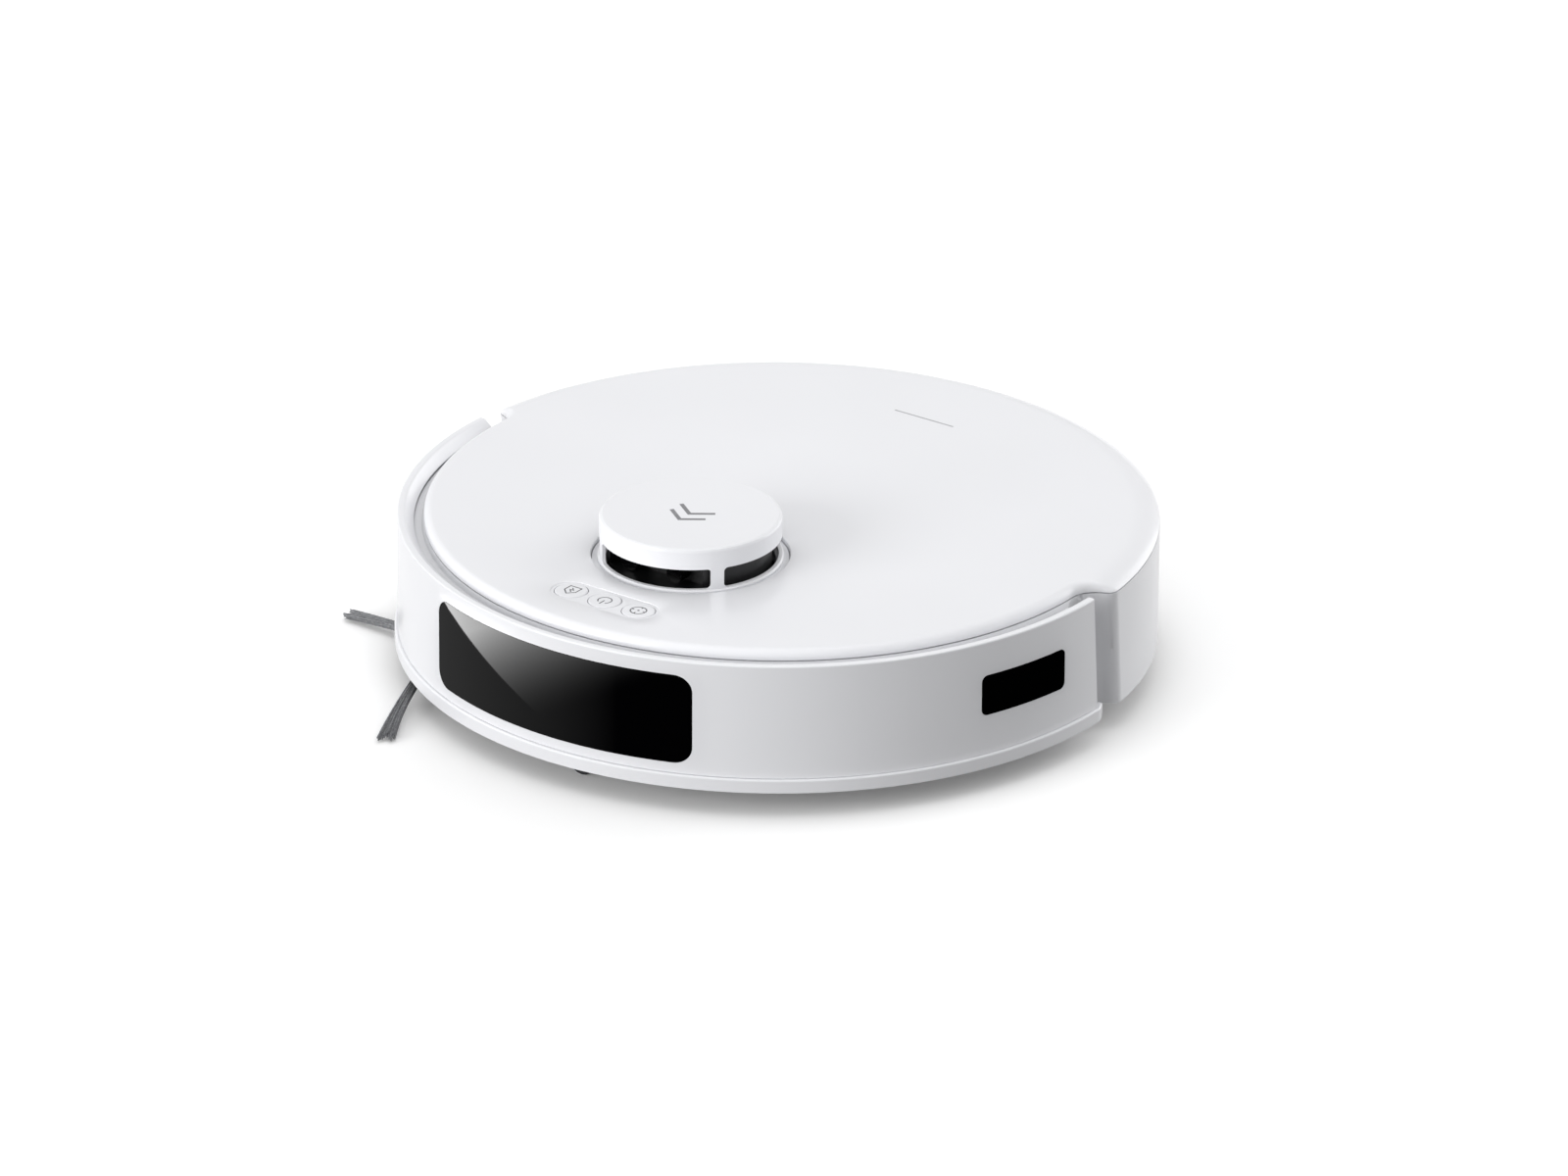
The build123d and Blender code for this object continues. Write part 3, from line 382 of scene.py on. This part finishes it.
# ================================================================ lid
def outline_points(front_r, rear_r, notch_r, arc_steps=150, notch_steps=14):
    """Plan of the lid as (x, y, share), where share runs from 0 in front to 1 behind the notches."""
    centre_r = LID_FRONT_R + STEP_R
    centre_angle = math.asin(STEP_Y / centre_r)
    centre = Vector((centre_r * math.cos(centre_angle), centre_r * math.sin(centre_angle)))

    def crossing(radius, reach):
        cosine = (radius**2 + centre_r**2 - reach**2) / (2 * radius * centre_r)
        return centre_angle + math.acos(min(1.0, cosine))

    def on_circle(radius, angle):
        return Vector((radius * math.cos(angle), radius * math.sin(angle)))

    smallest_corner_r, corner_steps = 1.0 * MM, 6
    corner_r = max(NOTCH_ROUND - (notch_r - STEP_R), smallest_corner_r)
    start = crossing(front_r, notch_r)
    end = crossing(rear_r - corner_r, notch_r + corner_r)
    heel = on_circle(rear_r - corner_r, end)
    toe = on_circle(front_r, start) - centre
    from_angle = math.atan2(toe.y, toe.x) % math.tau
    to_angle = math.atan2(heel.y - centre.y, heel.x - centre.x) % math.tau
    right = []
    for i in range(1, notch_steps):
        share = i / notch_steps
        point = centre + on_circle(notch_r, from_angle + (to_angle - from_angle) * share)
        right.append((point.x, point.y, share * share * (3 - 2 * share)))
    for i in range(corner_steps):
        turned = to_angle - math.pi + (end - to_angle + math.pi) * i / corner_steps
        point = heel + on_circle(corner_r, turned)
        right.append((point.x, point.y, 1.0))
    points = []
    for i in range(arc_steps + 1):
        point = on_circle(front_r, math.pi - start + (math.pi + 2 * start) * i / arc_steps)
        points.append((point.x, point.y, 0.0))
    points += right
    for i in range(arc_steps + 1):
        point = on_circle(rear_r, end + (math.pi - 2 * end) * i / arc_steps)
        points.append((point.x, point.y, 1.0))
    return points + [(-x, y, share) for x, y, share in reversed(right)]


def lid_ring(inset, z_front, z_rear, inset_rear=None):
    """Outline of the lid at one step of its profile, with its own height in front and behind."""
    inset_rear = inset if inset_rear is None else inset_rear
    plan = outline_points(LID_FRONT_R - inset, BODY_R - inset_rear, STEP_R + inset)
    return [(x, y, z_front + (z_rear - z_front) * share) for x, y, share in plan]


def lid_edge_rings():
    """From the underside, round the rim and over the rolled front or domed rear edge to the flat top."""
    bevel, side_height = 0.3 * MM, 1.3 * MM
    side = LID_EDGE + side_height
    rings = [lid_ring(SEAM_LIP, LID_UNDER, LID_EDGE + 0.4 * MM),
             lid_ring(SEAM_LIP, LID_EDGE, LID_EDGE),
             lid_ring(bevel, LID_EDGE, LID_EDGE),
             lid_ring(0, LID_EDGE + bevel, LID_EDGE + 0.1 * MM, 0.1 * MM)]
    steps = 16
    dome_start = math.asin((DOME_INSET - 0.3 * MM) / DOME_ROUND)
    for i in range(steps + 1):
        roll = math.pi / 2 * i / steps
        slope = dome_start * (1 - i / steps)
        rings.append(lid_ring(ROLL_FRONT * (1 - math.cos(roll)),
                              side + (LID_TOP - side) * math.sin(roll),
                              LID_TOP - DOME_ROUND * (1 - math.cos(slope)),
                              DOME_INSET - DOME_ROUND * math.sin(slope)))
    return rings


def chain(bm, rings):
    """Bridges a list of point rings and returns the first and last rings of vertices."""
    made = [add_ring(bm, ring) for ring in rings]
    for ring_a, ring_b in zip(made, made[1:]):
        bridge(bm, ring_a, ring_b)
    return made[0], made[-1]


def make_lid():
    """Lid with its turret hole, the buttons' sunk seat and their holes; profiles are (out, up) in mm."""
    bm = bmesh.new()
    under, top = chain(bm, lid_edge_rings())
    hole_profile = ((0.6, 0), (0.3, -0.06), (0.08, -0.25), (0, -0.6), (0, -4.6), (2, -4.6), (2, -2.4))
    hole = [circle_points(TURRET_HOLE_R + dr * MM, LID_TOP + dz * MM, 0, TURRET_Y, 144)
            for dr, dz in hole_profile]
    hole_top, hole_under = chain(bm, hole)
    seat_profile = ((0.25, 0), (0.08, -0.06), (0, -0.2), (-0.12, -0.35))
    seat_top, seat_floor = chain(bm, [pill_points(SEAT_R + dr * MM, LID_TOP + dz * MM, BUTTON_PITCH, BUTTON_Y)
                                      for dr, dz in seat_profile])
    floor_holes, under_holes = [], []
    for x in (-BUTTON_PITCH, 0, BUTTON_PITCH):
        profile = ((0.15, -0.35), (0, -0.5), (0, -2.4))
        rings = [circle_points(BUTTON_HOLE_R + dr * MM, LID_TOP + dz * MM, x, BUTTON_Y, 48)
                 for dr, dz in profile]
        upper, lower = chain(bm, rings)
        floor_holes.append(upper)
        under_holes.append(lower)
    fill_between(bm, [top, hole_top, seat_top])
    fill_between(bm, [seat_floor, *floor_holes])
    fill_between(bm, [under, hole_under, *under_holes])
    place(bmesh_object("lid_cover", bm, 40), "lid", "shell_white", SHELL, "lid")


# ================================================================ side brush
TUFT_ANGLES = (165, 285, 45)
TUFT_KNOTS = ((17, -26, 8.5), (54, -5, 5.2), (82, 0, 2.6))    # reach in mm, degrees of trail, height in mm
HUB = Vector((-107 * MM, -104 * MM, 0))


def arm_point(angle, share):
    """Centre line of one tuft: it trails from the hub lug, bends round and drops to the floor."""
    points = []
    for reach, trail, z in TUFT_KNOTS:
        turned = math.radians(angle + trail)
        points.append(Vector((reach * math.cos(turned), reach * math.sin(turned), z)) * MM)
    middle = (points[1] - points[0]).length
    middle /= middle + (points[2] - points[1]).length
    weights = ((share - middle) * (share - 1) / middle, share * (share - 1) / (middle * (middle - 1)),
               share * (share - middle) / (1 - middle))
    return HUB + sum((w * p for w, p in zip(weights, points)), Vector())


def make_side_brush():
    """Three flat tufts of nylon filaments in five locks, which fan out and end unevenly."""
    rng = random.Random(7)
    verts, faces = [], []
    steps, strands = 9, 110
    for angle in TUFT_ANGLES:
        for _ in range(strands):
            lock, height = rng.randrange(5), rng.uniform(-1, 1)
            across = 0.42 * (lock - 2) + rng.uniform(-0.17, 0.17) * (1.2 - height * height)
            length = 1 - abs(rng.gauss(0, 0.02)) - 0.014 * (lock * 2 % 5)
            wander = 0.1 * (lock - 2) + rng.gauss(0, 0.1)
            path = []
            for i in range(steps + 1):
                share = i / steps * length
                ahead = arm_point(angle, min(share + 0.02, 1.02)) - arm_point(angle, share - 0.02)
                side = Vector((-ahead.y, ahead.x, 0)).normalized()
                half_width = (1.9 + 1.5 * share**1.5) * MM
                half_height = (1.5 - 0.5 * share) * MM
                point = arm_point(angle, share) + side * half_width * (across + wander * share * share)
                point.z = max(point.z + half_height * height - 0.6 * MM * share, 0.3 * MM)
                path.append(point)
            radius = rng.uniform(0.16, 0.24) * MM
            tube(verts, faces, path, [radius * (1 - 0.35 * (i / steps) ** 3) for i in range(steps + 1)], 4)
    place(mesh_object("side_brush_tufts", verts, faces, 60), "side_brush", "bristle", BRISTLE,
          "side_brush_bristles")


# ================================================================ main brush
BRUSH_AXIS = Vector((0, (core_low.y + core_high.y) / 2, (core_low.z + core_high.z) / 2))
BRUSH_HALF = 77 * MM
BRUSH_TIP_R, BRUSH_WAIST_R, BRUSH_ROOT_R = 19.4 * MM, 13 * MM, 8.8 * MM
BRUSH_TWIST = math.radians(70)


def brush_place(x, radius, angle):
    """Point on the brush, whose rows run in a chevron from the middle to both ends."""
    turned = angle + BRUSH_TWIST * abs(x) / BRUSH_HALF
    return BRUSH_AXIS + Vector((x, radius * math.cos(turned), radius * math.sin(turned)))


def make_brush_blades():
    """Three rubber blades with small notches along their tips."""
    verts, faces = [], []
    steps = 64
    profile = ((BRUSH_ROOT_R, -0.11), (BRUSH_WAIST_R, -0.055), (BRUSH_TIP_R, -0.03),
               (BRUSH_TIP_R, 0.03), (BRUSH_WAIST_R, 0.055), (BRUSH_ROOT_R, 0.11))
    for blade in range(3):
        start = len(verts)
        for i in range(steps + 1):
            x = BRUSH_HALF * (2 * i / steps - 1)
            notch = 1 - 0.06 * (i % 8 == 0)
            verts += [brush_place(x, r * (notch if r > BRUSH_WAIST_R else 1), math.tau * blade / 3 + da)
                      for r, da in profile]
        size = len(profile)
        for i in range(steps):
            for k in range(size):
                a, b = start + i * size + k, start + i * size + (k + 1) % size
                faces.append((a, b, b + size, a + size))
        faces.append(tuple(start + k for k in reversed(range(size))))
        faces.append(tuple(start + steps * size + k for k in range(size)))
    place(mesh_object("brush_rubber_blades", verts, faces, 50), "main_brush", "brush_rubber", BLADE,
          "brush_blades")


def make_brush_bristles():
    """Rows of short bristles between the blades."""
    rng = random.Random(11)
    verts, faces = [], []
    for row in range(3):
        for i in range(40):
            x = BRUSH_HALF * (2 * (i + 0.5) / 40 - 1)
            for _ in range(12):
                dx, lean = rng.gauss(0, 0.8) * MM, rng.gauss(0, 0.06)
                angle = math.tau * (row + 0.5) / 3
                root = brush_place(x + 0.3 * dx, BRUSH_ROOT_R, angle)
                tip = brush_place(x + 1.6 * dx, BRUSH_TIP_R + rng.uniform(-0.4, 0) * MM, angle + lean)
                tube(verts, faces, [root, (root + tip) / 2, tip], [0.16 * MM, 0.14 * MM, 0.1 * MM], 3)
    place(mesh_object("brush_bristle_rows", verts, faces, 60), "main_brush", "bristle", BRISTLE)


# ================================================================ mop cloth
def mop_outline(inset, steps=14):
    """D-shaped plan with rounded corners, counter-clockwise."""
    radius = cloth_high.y - inset
    front = cloth_low.y + inset
    corner = 13 * MM
    corner_y = front + corner
    corner_x = math.sqrt((radius - corner) ** 2 - corner_y**2)
    rim = math.atan2(corner_y, corner_x)
    points = []
    for i in range(steps + 1):
        angle = -math.pi / 2 + (rim + math.pi / 2) * i / steps
        points.append((corner_x + corner * math.cos(angle), corner_y + corner * math.sin(angle)))
    for i in range(1, 6 * steps):
        angle = rim + (math.pi - 2 * rim) * i / (6 * steps)
        points.append((radius * math.cos(angle), radius * math.sin(angle)))
    left = [(-x, y) for x, y in reversed(points[:steps + 1])]
    points += left
    front_steps = 5 * steps
    for i in range(1, front_steps):
        share = i / front_steps
        points.append((-corner_x + 2 * corner_x * share, front))
    return points


def make_mop_cloth():
    """Microfibre pad with a soft rolled edge."""
    top, bottom = cloth_high.z, cloth_low.z + 0.9 * MM
    bm = bmesh.new()
    rings = []
    steps = 8
    for i in range(steps + 1):
        angle = math.pi * i / steps
        z = (top + bottom) / 2 + (top - bottom) / 2 * math.cos(angle)
        rings.append([(x, y, z) for x, y in mop_outline(1.2 * MM * (1 - math.sin(angle)))])
    upper, lower = chain(bm, rings)
    fill_between(bm, [upper])
    fill_between(bm, [lower])
    pad = place(bmesh_object("mop_pad", bm, 60), "mop", "mop_fabric", MOP, "mop_cloth")


def inside_mop(x, y):
    """Whether a loop of pile at this place stays within the pad's edge."""
    margin = 3 * MM
    if y < cloth_low.y + margin or math.hypot(x, y) > cloth_high.y - margin:
        return False
    return abs(x) < cloth_high.x - 8 * MM or y > cloth_low.y + 14 * MM


def make_mop_pile():
    """Chenille loops in staggered rows under the pad."""
    rng = random.Random(5)
    verts, faces = [], []
    pitch = 3.4 * MM
    base = cloth_low.z + 1.1 * MM
    rows = int((cloth_high.y - cloth_low.y) / pitch)
    columns = int((cloth_high.x - cloth_low.x) / pitch)
    for row in range(rows):
        for column in range(columns):
            x = cloth_low.x + (column + 0.5 * (row % 2) + 0.5) * pitch + rng.gauss(0, 0.25) * MM
            y = cloth_low.y + (row + 0.5) * pitch + rng.gauss(0, 0.25) * MM
            if not inside_mop(x, y):
                continue
            turn = rng.uniform(0, math.tau)
            reach = Vector((math.cos(turn), math.sin(turn), 0)) * 1.5 * MM
            foot = Vector((x, y, base))
            sag = Vector((0, 0, 0.55 * MM - base))
            path = [foot - reach, foot - 0.7 * reach + 0.8 * sag, foot + sag, foot + 0.7 * reach + 0.8 * sag,
                    foot + reach]
            tube(verts, faces, path, [0.5 * MM] * 5, 5)
    pile = place(mesh_object("mop_pile", verts, faces, 80), "mop", "mop_fabric", MOP)


# ================================================================ icons and marks
INK_HEIGHT = 0.03 * MM
ICON_LINE, TURRET_LINE, LID_LINE = 0.52 * MM, 2.0 * MM, 0.9 * MM


def ribbon(bm, points, width, z, closed=False):
    """Thin raised line through flat points."""
    count = len(points)
    left, right = [], []
    for i, point in enumerate(points):
        before = points[(i - 1) % count] if closed or i else point
        after = points[(i + 1) % count] if closed or i < count - 1 else point
        into, out = Vector(point) - Vector(before), Vector(after) - Vector(point)
        into = into.normalized() if into.length > 1e-9 else out.normalized()
        out = out.normalized() if out.length > 1e-9 else into
        middle = (into + out).normalized()
        side = Vector((-middle.y, middle.x)) * (width / 2 / max(0.5, middle.dot(out)))
        left.append(Vector(point) + side)
        right.append(Vector(point) - side)
    rings = [[bm.verts.new((p.x, p.y, h)) for p in line]
             for line, h in ((left, z), (left, z + INK_HEIGHT), (right, z + INK_HEIGHT), (right, z))]
    spans = range(count if closed else count - 1)
    for a in range(4):
        for i in spans:
            j = (i + 1) % count
            bm.faces.new((rings[a][i], rings[a][j], rings[(a + 1) % 4][j], rings[(a + 1) % 4][i]))
    if not closed:
        bm.faces.new([ring[0] for ring in rings])
        bm.faces.new([ring[-1] for ring in reversed(rings)])


def arc(r, start, end, steps=40):
    """Points of an arc in degrees."""
    angles = [math.radians(start + (end - start) * i / steps) for i in range(steps + 1)]
    return [(r * math.cos(angle), r * math.sin(angle)) for angle in angles]


def home_strokes():
    """House with a charging bolt; strokes are points in mm and whether the line closes."""
    house = [(-3.1, 3.9), (3.1, 3.9), (3.1, -0.9), (0, -4.0), (-3.1, -0.9)]
    bolt = [(0.9, -1.7), (-0.9, 0.4), (0.9, 0.4), (-0.9, 2.4)]
    return [(house, True), (bolt, False)]


def power_strokes():
    """Open ring with a bar."""
    return [(arc(3.2, -55, 235), False), ([(0, -4.3), (0, -0.2)], False)]


def spot_strokes():
    """Ring with four ticks and a dot."""
    ticks = [([(2.4 * math.cos(a), 2.4 * math.sin(a)), (3.7 * math.cos(a), 3.7 * math.sin(a))], False)
             for a in (math.tau * i / 4 for i in range(4))]
    return [(arc(3.7, 0, 360 - 9), True), *ticks, (arc(0.3, 0, 315, 7), True)]


def make_icons():
    """One plain printed icon on each button."""
    for x, name, strokes in ((-BUTTON_PITCH, "home", home_strokes()), (0, "power", power_strokes()),
                             (BUTTON_PITCH, "spot", spot_strokes())):
        bm = bmesh.new()
        for points, closed in strokes:
            line = [(x + px * MM, BUTTON_Y + py * MM) for px, py in points]
            ribbon(bm, line, ICON_LINE, BUTTON_TOP, closed)
        place(bmesh_object(f"{name}_icon", bm), f"{name}_button", "dark_plastic", ICON)


def make_turret_mark():
    """Plain double chevron in the middle of the turret's cap, pointing to the front."""
    bm = bmesh.new()
    reach, slope = 9.5, 0.72
    for tip in (-8.5, -1.0):
        line = [(-reach, tip + slope * reach), (0, tip), (reach, tip + slope * reach)]
        ribbon(bm, [(x * MM, TURRET_Y + y * MM) for x, y in line], TURRET_LINE, cover_high.z)
    place(bmesh_object("turret_chevrons", bm), "chassis", "dark_plastic", MARK)


def make_lid_mark():
    """Plain short line near the lid's back edge."""
    bm = bmesh.new()
    ribbon(bm, [(-20 * MM, 121 * MM), (13 * MM, 121 * MM)], LID_LINE, LID_TOP)
    place(bmesh_object("lid_line", bm), "lid", "dark_plastic", LID_MARK)


# ================================================================ studio
CAMERA_TURN, CAMERA_ELEVATION, CAMERA_ROLL = 35.8, 24.39, 0.276
CAMERA_DISTANCE, CAMERA_LENS = 6.537, 327.07
AIM_RIGHT, AIM_UP = 3.42 * MM, 31.43 * MM
CARD_REACH, CARD_COLUMNS = 0.04, 48


def backdrop_material():
    """White floor that glows a little, so that it runs into the white background."""
    finish = Finish("studio_floor", (1.0, 1.0, 1.0), 0.9, specular=0.0)
    finish.shader.inputs["Emission Color"].default_value = (1, 1, 1, 1)
    finish.shader.inputs["Emission Strength"].default_value = 0.08
    return finish.material


def make_floor():
    """Wide floor that catches the contact shadow."""
    half = 6.0
    corners = [(-half, -half, 0), (half, -half, 0), (half, half, 0), (-half, half, 0)]
    mesh = bpy.data.meshes.new("studio_floor")
    mesh.from_pydata(corners, [], [(0, 1, 2, 3)])
    floor = bpy.data.objects.new("studio_floor", mesh)
    mesh.materials.append(backdrop_material())
    bpy.context.scene.collection.objects.link(floor)
    floor.visible_diffuse = False
    floor.visible_shadow = False


def make_sun(name, strength, azimuth, elevation, softness):
    """Soft distant light; azimuth is in the main view's frame, 0 to the right and -90 to the viewer."""
    data = bpy.data.lights.new(name, "SUN")
    data.energy = strength
    data.angle = math.radians(softness)
    light = bpy.data.objects.new(name, data)
    a, e = math.radians(azimuth + CAMERA_TURN), math.radians(elevation)
    towards = Vector((math.cos(a) * math.cos(e), math.sin(a) * math.cos(e), math.sin(e)))
    light.rotation_mode = "QUATERNION"
    light.rotation_quaternion = towards.to_track_quat("Z", "Y")
    bpy.context.scene.collection.objects.link(light)


def make_world(strength):
    """Even light ceiling that fades out at the horizon."""
    world = bpy.data.worlds.new("studio")
    world.use_nodes = True
    nodes, links = world.node_tree.nodes, world.node_tree.links
    direction = nodes.new("ShaderNodeTexCoord").outputs["Generated"]
    parts = nodes.new("ShaderNodeSeparateXYZ")
    fade = nodes.new("ShaderNodeMapRange")
    fade.inputs["From Min"].default_value = -0.06
    fade.inputs["From Max"].default_value = 0.10
    fade.inputs["To Max"].default_value = strength
    nodes["Background"].inputs["Color"].default_value = (1, 1, 1, 1)
    links.new(direction, parts.inputs["Vector"])
    links.new(parts.outputs["Z"], fade.inputs["Value"])
    links.new(fade.outputs["Result"], nodes["Background"].inputs["Strength"])
    bpy.context.scene.world = world


def make_lights():
    """Three soft suns, low from left and right and one overhead, under an even ceiling."""
    make_world(0.77)
    make_sun("key_left", 2.2, -149, 9, 40)
    make_sun("fill_right", 1.3, 36, 9, 50)
    make_sun("overhead", 0.4, 0, 90, 50)
    scene = bpy.context.scene
    scene.view_settings.view_transform = "Standard"
    scene.view_settings.look = "None"


def camera_back():
    """Unit vector from the object towards the camera."""
    azimuth, elevation = math.radians(CAMERA_TURN), math.radians(CAMERA_ELEVATION)
    return Vector((math.sin(azimuth) * math.cos(elevation), -math.cos(azimuth) * math.cos(elevation),
                   math.sin(elevation)))


def glow_material():
    """Card with a faint haze and, beyond a slanting edge, a glow that fades from its top left corner."""
    haze_start, haze_rise, haze_fall = 0.247, 0.434, -1.0
    glow_start, glow_across, glow_up = 0.544, -1.289, 0.663
    glow_limit, glow_power, glow_strength = 0.87, 2.4, 7.9
    edge_slant, edge_place = 0.581, 0.60
    material = bpy.data.materials.new("reflector_glow")
    material.use_nodes = True
    nodes, links = material.node_tree.nodes, material.node_tree.links
    nodes.remove(nodes["Principled BSDF"])
    parts = nodes.new("ShaderNodeSeparateXYZ")
    links.new(nodes.new("ShaderNodeTexCoord").outputs["UV"], parts.inputs["Vector"])
    u, v = parts.outputs["X"], parts.outputs["Y"]

    def math_node(kind, a, b, c=0.0):
        node = nodes.new("ShaderNodeMath")
        node.operation = kind
        for socket, value in zip(node.inputs, (a, b, c)):
            if isinstance(value, (int, float)):
                socket.default_value = value
            else:
                links.new(value, socket)
        return node.outputs["Value"]

    slope = math_node("MULTIPLY_ADD", u, haze_fall, haze_rise)
    haze = math_node("MAXIMUM", math_node("MULTIPLY_ADD", u, slope, haze_start), 0.0)
    lit = math_node("MULTIPLY_ADD", u, glow_across, math_node("MULTIPLY_ADD", v, glow_up, glow_start))
    lit = math_node("MINIMUM", math_node("MAXIMUM", lit, 0.0), glow_limit)
    glow = math_node("POWER", lit, glow_power)
    beyond_edge = math_node("GREATER_THAN", math_node("MULTIPLY_ADD", v, edge_slant, u), edge_place)
    glow = math_node("MULTIPLY", math_node("MULTIPLY", glow, beyond_edge), glow_strength)
    emission = nodes.new("ShaderNodeEmission")
    links.new(math_node("ADD", haze, glow), emission.inputs["Strength"])
    links.new(emission.outputs["Emission"], nodes["Material Output"].inputs["Surface"])
    return material


def make_reflector(name, start, end, low_z, high_z, material):
    """Curved card in front of the bumper, laid where one of its windows mirrors it in the main view."""
    radius = -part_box("front_window")[0].y
    verts, faces, places = [], [], []
    for i in range(-2, CARD_COLUMNS + 3):
        angle = start + (end - start) * i / CARD_COLUMNS
        normal = Vector((math.cos(angle), math.sin(angle), 0))
        mirrored = 2 * camera_back().dot(normal) * normal - camera_back()
        for v in (-0.05, 1.05):
            point = normal * radius + Vector((0, 0, low_z + (high_z - low_z) * v))
            verts.append(point + CARD_REACH * mirrored)
            places.append((i / CARD_COLUMNS, v))
    for i in range(CARD_COLUMNS + 4):
        faces.append((2 * i, 2 * i + 2, 2 * i + 3, 2 * i + 1))
    mesh = bpy.data.meshes.new(name)
    mesh.from_pydata(verts, [], faces)
    uv = mesh.uv_layers.new(name="place")
    for loop in mesh.loops:
        uv.data[loop.index].uv = places[loop.vertex_index]
    mesh.materials.append(material)
    card = bpy.data.objects.new(name, mesh)
    bpy.context.scene.collection.objects.link(card)
    card.visible_camera = False
    card.visible_diffuse = False
    card.visible_shadow = False


def make_reflectors():
    """A glowing card for the front window and a black one for the side window."""
    low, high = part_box("front_window")
    radius, front = -low.y, -math.pi / 2
    make_reflector("front_card", front + math.asin(low.x / radius), front + math.asin(high.x / radius),
                   low.z, high.z, glow_material())
    low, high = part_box("side_window")
    make_reflector("side_card", math.asin(low.y / radius), math.asin(high.y / radius), low.z, high.z,
                   Finish("side_card", (0.0, 0.0, 0.0), 1.0, specular=0.0).material)


def make_camera():
    """Long lens from above the front, turned to the right side."""
    azimuth, back = math.radians(CAMERA_TURN), camera_back()
    right = Vector((math.cos(azimuth), math.sin(azimuth), 0))
    up = back.cross(right)
    data = bpy.data.cameras.new("camera")
    data.sensor_width = 36
    data.lens = CAMERA_LENS
    data.clip_start, data.clip_end = 0.1, 100
    camera = bpy.data.objects.new("camera", data)
    camera.location = back * CAMERA_DISTANCE
    aim = right * AIM_RIGHT + up * AIM_UP
    turn = (camera.location - aim).to_track_quat("Z", "Y")
    camera.rotation_mode = "QUATERNION"
    roll = Matrix.Rotation(math.radians(CAMERA_ROLL), 4, "Z").to_quaternion()
    camera.rotation_quaternion = turn @ roll
    bpy.context.scene.collection.objects.link(camera)
    bpy.context.scene.camera = camera


def make_pieces():
    """Everything that belongs to the machine."""
    finish_cad_nodes()
    make_lid()
    make_side_brush()
    make_brush_blades()
    make_brush_bristles()
    make_mop_cloth()
    make_mop_pile()
    make_icons()
    make_turret_mark()
    make_lid_mark()


make_camera()
make_pieces()
make_floor()
make_reflectors()
make_lights()
